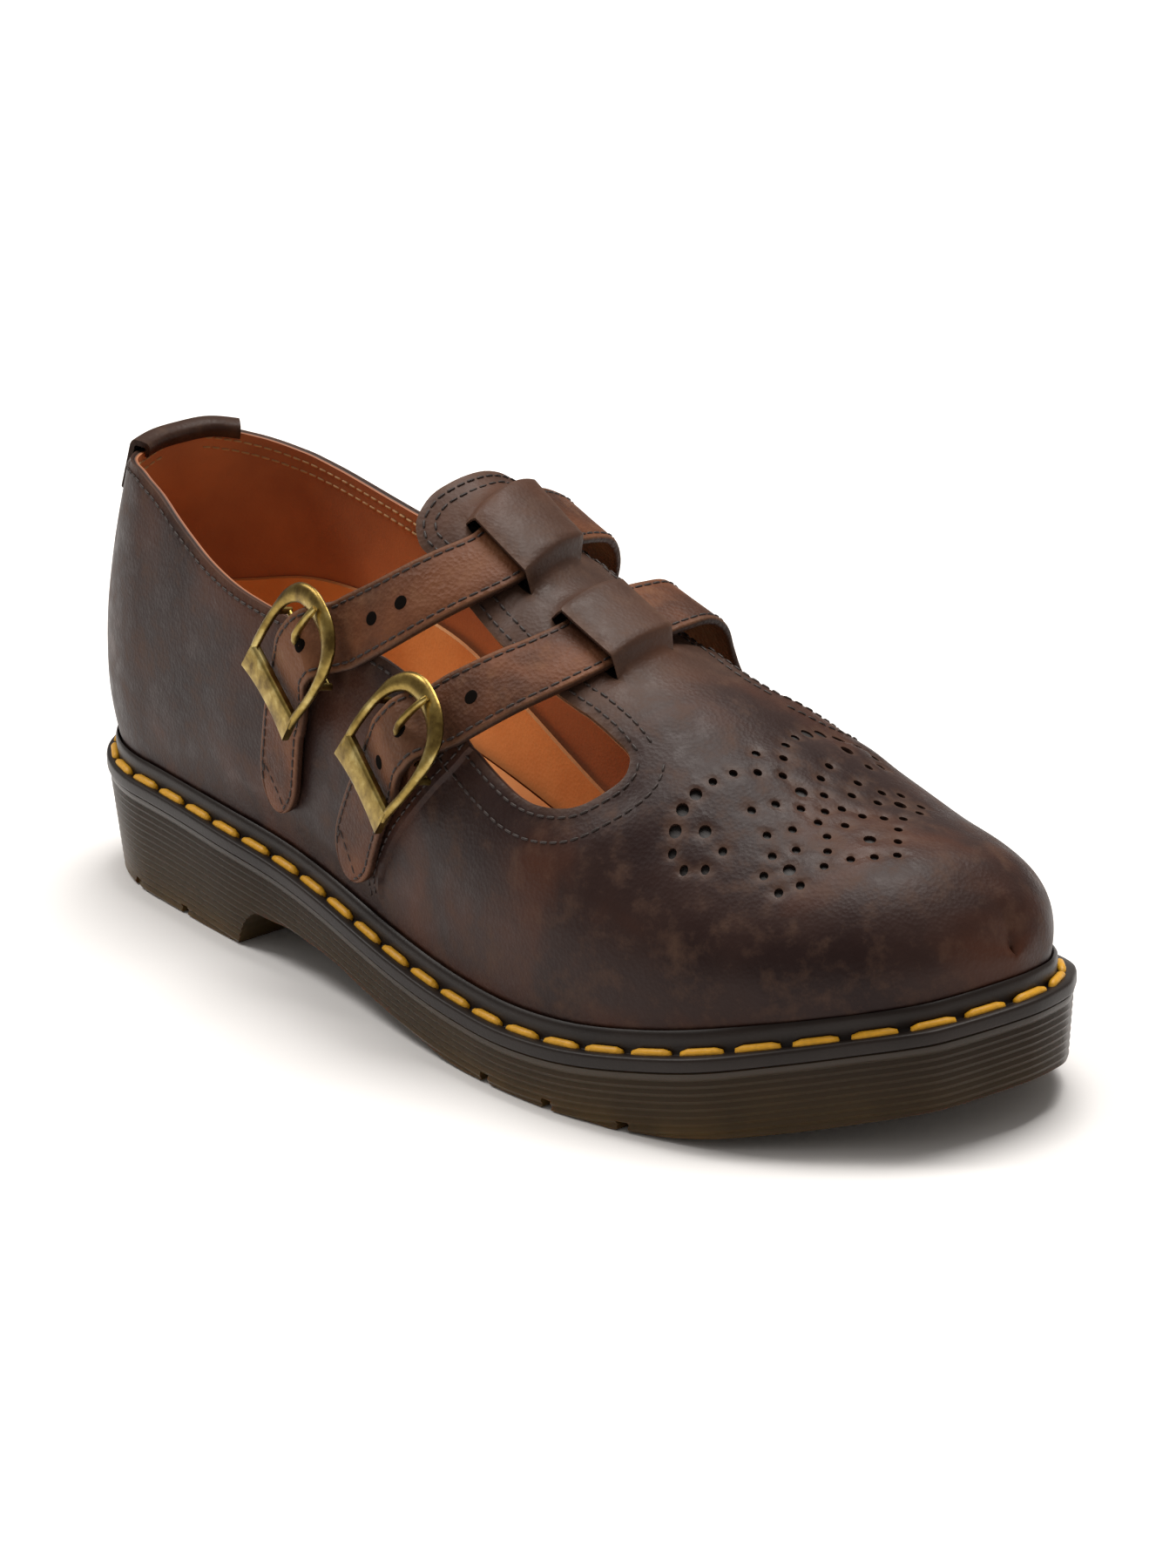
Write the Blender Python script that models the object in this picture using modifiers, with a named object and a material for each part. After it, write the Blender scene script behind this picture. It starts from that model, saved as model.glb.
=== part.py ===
# Double strap mary jane shoe, right foot, about EU 42.
# Worked in millimetres: x from heel back to toe, y to the medial side, z up from the floor.
# The shoe is one last surface; every leather piece is cut on it and thickened.
import math

import bmesh
import bpy
import numpy as np
from mathutils import Vector
from mathutils.bvhtree import BVHTree
from mathutils.geometry import delaunay_2d_cdt

# Named sizes
LENGTH = 300.0
BALL = 108.0
INSTEP = 121.5
HEEL_TOP = 29.6
WALL = 2.2
STEP = 1.1
GAP = 0.35
STRAP_WIDE = 17.3
STRAP_THICK = 2.0
RIB_PITCH = 1.85
RIB_DEEP = 0.45
BREAST_X = 80.6
TREAD_DEEP = 2.2

# Welt top line: share of length, share of heel height
WELT_LINE = [
    {"x": -0.067, "z": 1.007}, {"x": 0.0, "z": 1.0}, {"x": 0.2, "z": 0.976}, {"x": 0.3, "z": 0.919},
    {"x": 0.4, "z": 0.811}, {"x": 0.5, "z": 0.649}, {"x": 0.6, "z": 0.537}, {"x": 0.6667, "z": 0.5135},
    {"x": 0.7333, "z": 0.544}, {"x": 0.8, "z": 0.628}, {"x": 0.9, "z": 0.807}, {"x": 1.0, "z": 1.003},
    {"x": 1.0667, "z": 1.135},
]
# Under side of the sole: share of length, share of heel height
FLOOR_LINE = [
    {"x": 0.318, "z": 0.365}, {"x": 0.36, "z": 0.365}, {"x": 0.4, "z": 0.346}, {"x": 0.435, "z": 0.297},
    {"x": 0.465, "z": 0.236}, {"x": 0.51, "z": 0.159}, {"x": 0.548, "z": 0.084}, {"x": 0.585, "z": 0.027},
    {"x": 0.62, "z": 0.0}, {"x": 0.775, "z": 0.0}, {"x": 0.81, "z": 0.012}, {"x": 0.85, "z": 0.064},
    {"x": 0.907, "z": 0.152}, {"x": 0.963, "z": 0.275}, {"x": 1.0, "z": 0.368}, {"x": 1.05, "z": 0.52},
]

# Cross sections of the last, heel end to toe tip: x columns are shares of length, y columns of
# ball width, z columns of instep. foot: feather edge, wide: widest line, crest: ridge line,
# edge: welt edge; _l lateral, _m medial.
COLUMNS = ("x", "foot_l", "foot_m", "wide_l", "wide_m", "wide_z", "crest_y", "crest_z", "edge_x", "edge_l", "edge_m")
UNITS = (LENGTH, BALL, BALL, BALL, BALL, INSTEP, BALL, INSTEP, LENGTH, BALL, BALL)
SECTIONS = [
    (0.1333, -0.2556, 0.2981, -0.2815, 0.3241, 0.4115, 0.0278, 1.284, 0.1333, -0.3093, 0.3481),
    (0.2, -0.2815, 0.3, -0.3093, 0.3241, 0.4115, 0.0185, 1.2675, 0.2, -0.3361, 0.3556),
    (0.2667, -0.3019, 0.2889, -0.3306, 0.3148, 0.4115, 0.0093, 1.2263, 0.2667, -0.363, 0.3509),
    (0.35, -0.3222, 0.2593, -0.3519, 0.2926, 0.4033, -0.0139, 1.144, 0.35, -0.3852, 0.3287),
    (0.46, -0.3731, 0.2407, -0.3963, 0.2824, 0.3786, -0.037, 1.0, 0.46, -0.4352, 0.3083),
    (0.5333, -0.4056, 0.2685, -0.4278, 0.3148, 0.3539, -0.0417, 0.893, 0.5367, -0.4704, 0.3361),
    (0.6, -0.4296, 0.3287, -0.4537, 0.3657, 0.3292, -0.0417, 0.8066, 0.6033, -0.4944, 0.3963),
    (0.6667, -0.4444, 0.3833, -0.4704, 0.4167, 0.3045, -0.0324, 0.7366, 0.67, -0.5111, 0.4481),
    (0.7333, -0.4407, 0.4194, -0.4667, 0.4463, 0.2963, -0.0139, 0.6683, 0.74, -0.5037, 0.4833),
    (0.7933, -0.412, 0.4306, -0.437, 0.4556, 0.2963, 0.0139, 0.5959, 0.8033, -0.4704, 0.4944),
    (0.8467, -0.3611, 0.4213, -0.3833, 0.4444, 0.3004, 0.0417, 0.5366, 0.8617, -0.4167, 0.4843),
    (0.8933, -0.2778, 0.3843, -0.3009, 0.412, 0.3045, 0.0741, 0.5086, 0.9117, -0.3102, 0.4444),
    (0.93, -0.1852, 0.3333, -0.2083, 0.3565, 0.3128, 0.1019, 0.484, 0.9483, -0.2157, 0.3917),
    (0.955, -0.1019, 0.2685, -0.1204, 0.2917, 0.3169, 0.1204, 0.4428, 0.9733, -0.1481, 0.3241),
    (0.9693, -0.0185, 0.2083, -0.0324, 0.2315, 0.321, 0.1296, 0.4016, 0.99, -0.0694, 0.2546),
    (0.9767, 0.1296, 0.1296, 0.1296, 0.1296, 0.3226, 0.1296, 0.3243, 1.0, 0.1296, 0.1296),
]
# The row that would stand before the first, so the curves start level
ROW_BEFORE = (0.0667, -0.2296, 0.2778, -0.2537, 0.3056, 0.4115, 0.0278, 1.2922, 0.0667, -0.2824, 0.3352)
# How far the heel reaches back over its half width, by share of instep height
HEEL_REACH = [(0.214, 1.135), (0.2634, 1.165), (0.3292, 1.2), (0.4115, 1.215), (0.535, 1.18), (0.6584, 1.08),
              (0.8724, 0.87), (1.0288, 0.76), (1.3169, 0.66)]
HEEL_SQUARE = 2.22
HEEL_FLARE = 0.0036
TIP_PUSH = 2.4

# Grain of the working grid
HALF_RIB = 60
FAN_ROWS = 24
ROW_STEPS = 12


def smooth(xs, ys, x):
    """Value at x of a smooth curve through rows."""
    xs = np.asarray(xs, float)
    ys = np.asarray(ys, float)
    rise = np.diff(ys) / np.diff(xs)
    run = np.diff(xs)
    slope = np.empty(len(xs))
    slope[1:-1] = (rise[:-1] * run[1:] + rise[1:] * run[:-1]) / (run[:-1] + run[1:])
    slope[0] = rise[0]
    slope[-1] = rise[-1]
    x = np.asarray(x, float)
    k = np.clip(np.searchsorted(xs, x) - 1, 0, len(xs) - 2)
    t = (x - xs[k]) / run[k]
    a = ys[k] * (1 + 2 * t) * (1 - t) ** 2 + run[k] * slope[k] * t * (1 - t) ** 2
    b = ys[k + 1] * t * t * (3 - 2 * t) + run[k] * slope[k + 1] * t * t * (t - 1)
    return a + b


def welt_top(x):
    xs = [row["x"] * LENGTH for row in WELT_LINE]
    zs = [row["z"] * HEEL_TOP for row in WELT_LINE]
    return smooth(xs, zs, x)


def ease(t):
    t = np.clip(t, 0.0, 1.0)
    return t * t * (3 - 2 * t)


ROWS = np.array(SECTIONS, float) * np.array(UNITS)
TIP_Y = ROWS[-1, COLUMNS.index("crest_y")]
HEEL_X = ROWS[0, COLUMNS.index("x")]


def mirrored(row):
    """A row past the tip, so the toe closes round."""
    out = row.copy()
    for c in (1, 2, 3, 4, 6, 9, 10):
        out[c] = 2 * TIP_Y - row[c]
    out[7] = 2 * ROWS[-1, 7] - row[7]
    return out


TABLE = np.vstack([np.array(ROW_BEFORE) * np.array(UNITS), ROWS, mirrored(ROWS[-2]), mirrored(ROWS[-3])])


def section(v):
    """Section values at row position v."""
    k = np.arange(len(TABLE)) - 1.0
    return np.array([float(smooth(k, TABLE[:, c], v)) for c in range(TABLE.shape[1])])


def half_arch(values, side):
    """Points of half a section, feather edge to crest."""
    x, foot_l, foot_m, wide_l, wide_m, wide_z, crest_y, crest_z = values[:8]
    foot, wide = (foot_l, wide_l) if side < 0 else (foot_m, wide_m)
    q = np.linspace(0, 1, HALF_RIB + 1)
    low = np.clip(q / 0.22, 0, 1) * math.pi / 2
    high = np.clip((q - 0.22) / 0.78, 0, 1) * math.pi / 2
    foot_z = float(welt_top(x)) - 2.9
    below = q < 0.22
    y = np.where(below, foot + (wide - foot) * np.sin(low), crest_y + (wide - crest_y) * np.cos(high))
    z = np.where(below, foot_z + (wide_z - foot_z) * low / (math.pi / 2), wide_z + (crest_z - wide_z) * np.sin(high))
    push = TIP_PUSH * float(ease((x - 250.0) / 40.0))
    return np.column_stack([x + push * np.where(below, np.sin(low), np.cos(high)), y, z])


def even(points, count):
    """Points at equal steps along a line."""
    run = np.r_[0, np.cumsum(np.linalg.norm(np.diff(points, axis=0), axis=1))]
    if run[-1] < 1e-9:
        return np.repeat(points[:1], count, axis=0)
    s = np.linspace(0, run[-1], count)
    return np.column_stack([np.interp(s, run, points[:, k]) for k in range(3)])


def rib(u, side):
    """One rib from feather edge up: u under 1 fans round the heel, above 1 counts rows."""
    if u >= 1:
        return half_arch(section(u - 1), side)
    values = section(0.0)
    points = half_arch(values, side)
    crest_y = values[6]
    half = np.abs(points[:, 1] - crest_y)
    mean = (np.abs(half_arch(values, -1)[:, 1] - crest_y) + np.abs(half_arch(values, 1)[:, 1] - crest_y)) / 2
    reach = np.array(HEEL_REACH, float)
    back = mean * smooth(reach[:, 0] * INSTEP, reach[:, 1], points[:, 2])
    power = 2 / HEEL_SQUARE
    turn = u * math.pi / 2
    x = HEEL_X - back * math.cos(turn) ** power
    y = crest_y + side * half * math.sin(turn) ** power * (1 - HEEL_FLARE * (HEEL_X - x))
    return np.column_stack([x, y, points[:, 2]])


def edge_point(u, side):
    """Welt edge in plan."""
    if u >= 1:
        values = section(u - 1)
        return np.array([values[8], values[9] if side < 0 else values[10]])
    values = section(0.0)
    half = abs((values[9] if side < 0 else values[10]) - values[6])
    power = 2 / HEEL_SQUARE
    turn = u * math.pi / 2
    x = HEEL_X - HEEL_X * math.cos(turn) ** power
    return np.array([x, values[6] + side * half * math.sin(turn) ** power * (1 - HEEL_FLARE * (HEEL_X - x))])


# The last as a grid: rows along, columns lateral foot, crest, medial foot
LAST_ROW = len(ROWS) - 1
STEPS = np.concatenate([np.linspace(0, 1, FAN_ROWS + 1)[:-1], 1 + np.linspace(0, LAST_ROW, ROW_STEPS * LAST_ROW + 1)])
GRID = np.array([
    np.vstack([even(rib(u, -1), HALF_RIB + 1), even(rib(u, 1), HALF_RIB + 1)[::-1][1:]]) for u in STEPS
])
ALONG = np.gradient(GRID, axis=0)
ACROSS = np.gradient(GRID, axis=1)
OUT = np.cross(ALONG, ACROSS)
OUT /= np.maximum(np.linalg.norm(OUT, axis=2, keepdims=True), 1e-9)
if (OUT[len(STEPS) // 2, HALF_RIB] @ np.array([0, 0, 1.0])) < 0:
    OUT = -OUT
# The two halves of the heel back share one rib
OUT[0, :HALF_RIB] = OUT[1, :HALF_RIB]
OUT[0, HALF_RIB + 1:] = OUT[1, HALF_RIB + 1:]
BACK = OUT[0, :HALF_RIB] + OUT[0, :HALF_RIB:-1]
BACK /= np.linalg.norm(BACK, axis=1, keepdims=True)
OUT[0, :HALF_RIB] = BACK
OUT[0, :HALF_RIB:-1] = BACK
OUT[-1] = OUT[-2]
MEAN_TIP = OUT[-1, :HALF_RIB] + OUT[-1, :HALF_RIB:-1]
MEAN_TIP /= np.linalg.norm(MEAN_TIP, axis=1, keepdims=True)
OUT[-1, :HALF_RIB] = MEAN_TIP
OUT[-1, :HALF_RIB:-1] = MEAN_TIP
OUT[-1, HALF_RIB] = MEAN_TIP[-1]

# Flat chart of the last: a runs along, b is the share of the rib, 100 at the feather edge
FOOT_RUN = np.r_[0, np.cumsum((np.linalg.norm(np.diff(GRID[:, 0], axis=0), axis=1)
                               + np.linalg.norm(np.diff(GRID[:, -1], axis=0), axis=1)) / 2)]
A_OF_STEP = FOOT_RUN - FOOT_RUN[FAN_ROWS] + HEEL_X
A_END = float(A_OF_STEP[-1])


def chart_uv(a, b):
    """Chart point to row position and rib column."""
    a = np.asarray(a, float)
    b = np.asarray(b, float)
    r = np.hypot(np.minimum(a - HEEL_X, 0), b)
    turn = np.arctan2(np.abs(b), np.maximum(HEEL_X - a, 1e-9))
    fan = a < HEEL_X
    row = np.where(fan, turn / (math.pi / 2) * FAN_ROWS,
                   FAN_ROWS + np.interp(a, A_OF_STEP[FAN_ROWS:], np.arange(len(STEPS) - FAN_ROWS)))
    share = np.where(fan, r, np.abs(b)) / 100.0
    side = np.where(b < 0, -1, 1)
    col = HALF_RIB + side * np.clip(share, 0, 1) * HALF_RIB
    return row, col


def sample(field, row, col):
    """Blend the four grid values around each spot."""
    i = np.clip(np.floor(row).astype(int), 0, field.shape[0] - 2)
    j = np.clip(np.floor(col).astype(int), 0, field.shape[1] - 2)
    s = (row - i)[..., None]
    t = (col - j)[..., None]
    return ((1 - s) * (1 - t) * field[i, j] + s * (1 - t) * field[i + 1, j]
            + (1 - s) * t * field[i, j + 1] + s * t * field[i + 1, j + 1])


def on_last(a, b):
    row, col = chart_uv(a, b)
    normal = sample(OUT, row, col)
    return sample(GRID, row, col), normal / np.linalg.norm(normal, axis=-1, keepdims=True)


def chart_from_row(row, side, share):
    """Row position and rib share to chart."""
    if row < FAN_ROWS:
        turn = row / FAN_ROWS * math.pi / 2
        return HEEL_X - 100 * share * math.cos(turn), side * 100 * share * math.sin(turn)
    return float(np.interp(row - FAN_ROWS, np.arange(len(STEPS) - FAN_ROWS), A_OF_STEP[FAN_ROWS:])), side * 100 * share


def at_height(x, z, side):
    """Chart point where the last stands at x and z on one side."""
    columns = GRID[:, :HALF_RIB + 1][:, ::-1] if side < 0 else GRID[:, HALF_RIB:]
    shares = np.linspace(0, 1, HALF_RIB + 1)
    where = np.array([np.interp(z, r[::-1, 2], shares[::-1]) for r in columns])
    xs = np.array([np.interp(w, shares, r[:, 0]) for w, r in zip(where, columns)])
    good = slice(0, len(STEPS) - 4)
    row = float(np.interp(x, xs[good], np.arange(len(STEPS))[good]))
    share = float(np.interp(row, np.arange(len(STEPS)), where))
    return chart_from_row(row, side, share)


def at_plan(x, y):
    """Chart point of a spot seen from above, rows only."""
    row = float(np.interp(x, GRID[FAN_ROWS:, HALF_RIB, 0], np.arange(FAN_ROWS, len(STEPS))))
    line = GRID[int(round(row))]
    crest = line[HALF_RIB, 1]
    side = -1 if y < crest else 1
    half = line[:HALF_RIB + 1][::-1] if side < 0 else line[HALF_RIB:]
    top = int(np.argmax(np.abs(half[:, 1] - crest)))
    share = float(np.interp(abs(y - crest), np.abs(half[:top + 1, 1] - crest), np.linspace(0, 1, HALF_RIB + 1)[:top + 1]))
    return chart_from_row(row, side, share)


def curve(points, pitch=5.0, closed=False):
    """Smooth line through chart points at about the pitch."""
    p = np.array(points, float)
    if closed:
        p = np.vstack([p[-2:], p, p[:3]])
    run = np.r_[0, np.cumsum(np.linalg.norm(np.diff(p, axis=0), axis=1))]
    if closed:
        lo, hi = run[2], run[len(points) + 2]
    else:
        lo, hi = run[0], run[-1]
    count = max(2, int(round((hi - lo) / pitch)))
    s = np.linspace(lo, hi, count + 1)
    out = np.column_stack([smooth(run, p[:, 0], s), smooth(run, p[:, 1], s)])
    return out[:-1] if closed else out


def inside(points, polygon):
    """Which points lie in a polygon."""
    x, y = points[:, 0], points[:, 1]
    hit = np.zeros(len(points), bool)
    q = np.roll(polygon, -1, axis=0)
    for (x0, y0), (x1, y1) in zip(polygon, q):
        cross = (y0 > y) != (y1 > y)
        with np.errstate(divide="ignore", invalid="ignore"):
            at = (x1 - x0) * (y - y0) / (y1 - y0) + x0
        hit ^= cross & (x < at)
    return hit


def to_line(points, line):
    """Distance of points from a chart line and the sign of its side."""
    a = line[:-1]
    d = np.diff(line, axis=0)
    best = np.full(len(points), 1e9)
    sign = np.ones(len(points))
    for p, v in zip(a, d):
        w = points - p
        t = np.clip((w @ v) / (v @ v), 0, 1)
        away = w - t[:, None] * v
        r = np.hypot(away[:, 0], away[:, 1])
        near = r < best
        best = np.where(near, r, best)
        sign = np.where(near, np.sign(v[0] * w[:, 1] - v[1] * w[:, 0]), sign)
    return best, sign


# Scene, collection and helpers for solids
for thing in list(bpy.data.objects):
    bpy.data.objects.remove(thing, do_unlink=True)
PARTS = bpy.data.collections.new("shoe")
bpy.context.scene.collection.children.link(PARTS)
TOOLS = bpy.data.collections.new("cutters")
bpy.context.scene.collection.children.link(TOOLS)
EDGE_LOOP = np.array([edge_point(u, s) for u in STEPS for s in (-1, 1)])
MID_X = float(EDGE_LOOP[:, 0].min() + EDGE_LOOP[:, 0].max()) / 2
MID_Y = float(EDGE_LOOP[:, 1].min() + EDGE_LOOP[:, 1].max()) / 2


def material(name, colour, rough, metal):
    """One plain material, colour as sRGB hex."""
    mat = bpy.data.materials.new(name)
    mat.use_nodes = True
    node = mat.node_tree.nodes["Principled BSDF"]
    rgb = [int(colour[k:k + 2], 16) / 255 for k in (0, 2, 4)]
    rgb = [c / 12.92 if c <= 0.04045 else ((c + 0.055) / 1.055) ** 2.4 for c in rgb]
    node.inputs["Base Color"].default_value = (*rgb, 1)
    node.inputs["Roughness"].default_value = rough
    node.inputs["Metallic"].default_value = metal
    return mat


def solid(name, points, faces, look, collection=None, weld=True):
    """Object from millimetre points, moved to the row frame in metres."""
    points = np.asarray(points, float).copy()
    points[:, 0] -= MID_X
    points[:, 1] -= MID_Y
    mesh = bpy.data.meshes.new(name)
    mesh.from_pydata([tuple(p) for p in points * 0.001], [], [tuple(int(i) for i in f) for f in faces])
    bm = bmesh.new()
    bm.from_mesh(mesh)
    if weld:
        bmesh.ops.remove_doubles(bm, verts=bm.verts, dist=0.00001)
        bmesh.ops.dissolve_degenerate(bm, dist=0.00001, edges=bm.edges)
    bmesh.ops.recalc_face_normals(bm, faces=bm.faces)
    bm.to_mesh(mesh)
    bm.free()
    ob = bpy.data.objects.new(name, mesh)
    (collection or PARTS).objects.link(ob)
    if look is not None:
        mesh.materials.append(look)
    if collection is TOOLS:
        ob.hide_render = True
        ob.display_type = "WIRE"
    return ob


def cut(ob, cutter, operation="DIFFERENCE"):
    mod = ob.modifiers.new(cutter.name, "BOOLEAN")
    mod.operation = operation
    mod.solver = "EXACT"
    mod.object = cutter
    return mod


def strip_faces(rings, closed_ring=True, closed_run=False):
    """Quads between rings of equal count, as index lists."""
    count = len(rings[0])
    total = len(rings)
    faces = []
    for i in range(total if closed_run else total - 1):
        j = (i + 1) % total
        for k in range(count if closed_ring else count - 1):
            m = (k + 1) % count
            faces.append((i * count + k, i * count + m, j * count + m, j * count + k))
    return faces


BROWN = material("upper_leather", "3B2A24", 0.55, 0.0)
STRAP_BROWN = material("strap_leather", "6B4128", 0.6, 0.0)
STRAP_BROWN_2 = material("strap_leather_front", "6B4128", 0.6, 0.0)
TAB_BROWN = material("tab_leather", "33241F", 0.55, 0.0)
TAN = material("footbed_leather", "D08A4E", 0.7, 0.0)
WELT_GREY = material("welt_rubber", "3A3936", 0.5, 0.0)
RUBBER = material("sole_rubber", "4B4234", 0.45, 0.0)

# Stations round the shoe shared by welt, sole and insole
LOOP_US = list(np.array([0.0, 0.18, 0.36, 0.54, 0.72, 0.88])) + [1 + v for v in (
    0.0, 0.7, 1.4, 2.1, 2.8, 3.5, 4.1, 4.7, 5.3, 5.9, 6.5, 7.1, 7.8, 8.5, 9.2, 9.8, 10.3, 10.8, 11.3, 11.8,
    12.3, 12.8, 13.3, 13.8, 14.3, 14.7, float(LAST_ROW))]
LOOP = [(u, -1) for u in LOOP_US] + [(u, 1) for u in LOOP_US[1:-1]][::-1]


def rib_at(u, side, height):
    """Plan point of the last at a height above the welt top."""
    p = rib(u, side)
    z = float(welt_top(p[0, 0])) + height
    low = p[:int(HALF_RIB * 0.6)]
    return np.array([np.interp(z, low[:, 2], low[:, 0]), np.interp(z, low[:, 2], low[:, 1])])


def welt_ring():
    """Welt and its rounded rand, one ring section per station."""
    shape = [(0.07, -3.2), (0.0, -2.7), (0.0, -0.7), (0.08, 0.0), (0.52, 0.0), (0.58, -0.5), (0.64, 0.2),
             (0.67, 2.6), (0.79, 4.4), (0.92, 4.8)]
    rings = []
    for u, side in LOOP:
        edge = edge_point(u, side)
        base = rib_at(u, side, -2.8)
        out = (edge - base) / np.linalg.norm(edge - base)
        top = float(welt_top(edge[0]))
        ring = []
        for share, rise in shape:
            inner = rib_at(u, side, max(rise, -2.8)) + 0.75 * out
            ring.append((*(edge + share * (inner - edge)), top + rise))
        for rise in (4.2, -3.2):
            inner = rib_at(u, side, max(rise, -2.8)) + 0.75 * out
            ring.append((*inner, top + rise))
        rings.append(ring)
    points = [p for ring in rings for p in ring]
    return solid("welt", points, strip_faces(rings, closed_run=True), WELT_GREY)


def cap_faces(offset, flip=False):
    """Bands across one loop, joining lateral and medial stations."""
    half = len(LOOP_US)
    lateral = list(range(half))
    medial = [0] + [len(LOOP) - k for k in range(1, half - 1)] + [half - 1]
    faces = []
    for k in range(half - 1):
        f = [lateral[k], lateral[k + 1], medial[k + 1], medial[k]]
        f = [i + offset for i in dict.fromkeys(f)]
        faces.append(tuple(f[::-1] if flip else f))
    return faces


def sole_body():
    """Ribbed block down past the floor; the under side is cut after."""
    depths = [(0.0, 0.0), (1.3, 0.0)]
    d = 1.3
    while d < 27.5:
        depths.append((d + RIB_PITCH * 0.5, RIB_DEEP))
        depths.append((d + RIB_PITCH, 0.0))
        d += RIB_PITCH
    depths.append((36.0, 0.0))
    rings = []
    for depth, groove in depths:
        ring = []
        for u, side in LOOP:
            edge = edge_point(u, side)
            base = rib_at(u, side, -2.8)
            inward = (base - edge) / np.linalg.norm(edge - base)
            spot = edge + inward * (0.5 + 0.09 * depth + groove)
            ring.append((*spot, float(welt_top(edge[0])) - 3.35 - GAP - depth))
        rings.append(ring)
    points = [p for ring in rings for p in ring]
    faces = strip_faces(rings) + cap_faces(0, True) + cap_faces((len(rings) - 1) * len(LOOP))
    return solid("outsole", points, faces, RUBBER)


def profile_cutter(name, outline, half_wide):
    """Prism of an x z outline right across the shoe."""
    points = [(x, -half_wide, z) for x, z in outline] + [(x, half_wide, z) for x, z in outline]
    n = len(outline)
    faces = [tuple(range(n))[::-1], tuple(range(n, 2 * n))]
    faces += [(k, (k + 1) % n, n + (k + 1) % n, n + k) for k in range(n)]
    return solid(name, points, faces, None, TOOLS)


def box_cutter(name, boxes):
    """Several boxes in one cutter: centre x, y, size x, y, turn, z low, z high."""
    points = []
    faces = []
    for x, y, sx, sy, turn, low, high in boxes:
        c, s = math.cos(math.radians(turn)), math.sin(math.radians(turn))
        base = len(points)
        for z in (low, high):
            for dx, dy in ((-1, -1), (1, -1), (1, 1), (-1, 1)):
                px, py = dx * sx / 2, dy * sy / 2
                points.append((x + c * px - s * py, y + s * px + c * py, z))
        faces += [tuple(base + i for i in f) for f in
                  ((3, 2, 1, 0), (4, 5, 6, 7), (0, 1, 5, 4), (1, 2, 6, 5), (2, 3, 7, 6), (3, 0, 4, 7))]
    return solid(name, points, faces, None, TOOLS, weld=False)


sole = sole_body()
under = [(BREAST_X, 0.0), (BREAST_X + 2.0, 3.5), (BREAST_X + 5.5, 7.8), (BREAST_X + 9.5, 10.4)]
line_x = np.array([row["x"] * LENGTH for row in FLOOR_LINE])
line_z = np.array([row["z"] * HEEL_TOP for row in FLOOR_LINE])
for x in (95.4, 108, 120, 130, 139, 147, 154, 160, 166, 172, 178, 186):
    under.append((x, max(float(smooth(line_x, line_z, x)), 0.0)))
for x in (232.5, 240, 247, 255, 263, 272, 281, 289, 296, 304, 315):
    under.append((x, max(float(smooth(line_x, line_z, x)), 0.0)))
under = [(-20.0, 0.0)] + under + [(315.0, -40.0), (-20.0, -40.0)]
cut(sole, profile_cutter("cut_under_side", under, 90.0))

# Main tread: edge notches and a channel pattern that leaves the lugs
notches = []
for x, side in ((12, -1), (30, -1), (55, -1), (12, 1), (30, 1), (55, 1)):
    u_x, y = x, (-36.0 if side < 0 else 39.0)
    notches.append((x, y * (0.62 if x == 12 else 0.93), 3.0, 12.0, (38 * side if x == 12 else 8 * side), -1.0, TREAD_DEEP))
for x in (192, 214, 236):
    notches.append((x, -50.0 if x < 230 else -47.0, 3.0, 12.0, 0, -1.0, TREAD_DEEP))
    notches.append((x, 46.0 if x < 200 else 50.5, 3.0, 12.0, 0, -1.0, TREAD_DEEP))
cut(sole, box_cutter("cut_notches", notches))
channels = [(44.0, 2.0, 3.0, 46.0, 0, -1.0, TREAD_DEEP), (26.0, 2.5, 3.0, 40.0, 0, -1.0, TREAD_DEEP),
            (62.0, 1.5, 3.0, 52.0, 0, -1.0, TREAD_DEEP)]
channels += [(x, -2.0, 3.2, 72.0, 0, -1.0, TREAD_DEEP) for x in (182, 198, 214, 230)]
cut(sole, box_cutter("cut_channels", channels))
welt_ring()


# The footbed is thicker under the heel
HEEL_PAD = 8.0


def insole_board():
    low = []
    high = []
    for u, side in LOOP:
        base = rib_at(u, side, -2.8)
        edge = edge_point(u, side)
        inward = (base - edge) / np.linalg.norm(edge - base)
        spot = base + inward * (WALL + 0.75)
        z = float(welt_top(spot[0]))
        low.append((*spot, z - 3.2))
        high.append((*spot, z + 2.6 + HEEL_PAD * float(ease((190 - spot[0]) / 110))))
    n = len(LOOP)
    points = low + high
    faces = strip_faces([low, high]) + cap_faces(0, True) + cap_faces(n)
    return solid("insole", points, faces, TAN)


insole_board()

# Nearest point on the last, for draping straps
tree_points = [Vector(p) for p in GRID.reshape(-1, 3)]
rows_n, cols_n = GRID.shape[:2]
tree_faces = [(i * cols_n + j, i * cols_n + j + 1, (i + 1) * cols_n + j + 1, (i + 1) * cols_n + j)
              for i in range(rows_n - 1) for j in range(cols_n - 1)]
TREE = BVHTree.FromPolygons(tree_points, tree_faces)


def drape(point):
    """Foot of a point on the last and the smooth normal there."""
    spot, _, index, _ = TREE.find_nearest(Vector(point))
    i, j = divmod(index, cols_n - 1)
    corners = [(i, j), (i, j + 1), (i + 1, j + 1), (i + 1, j)]
    weights = [1.0 / (1e-3 + float(np.linalg.norm(GRID[c] - np.array(spot)))) for c in corners]
    normal = sum(w * OUT[c] for w, c in zip(weights, corners))
    return np.array(spot), normal / np.linalg.norm(normal)


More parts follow.
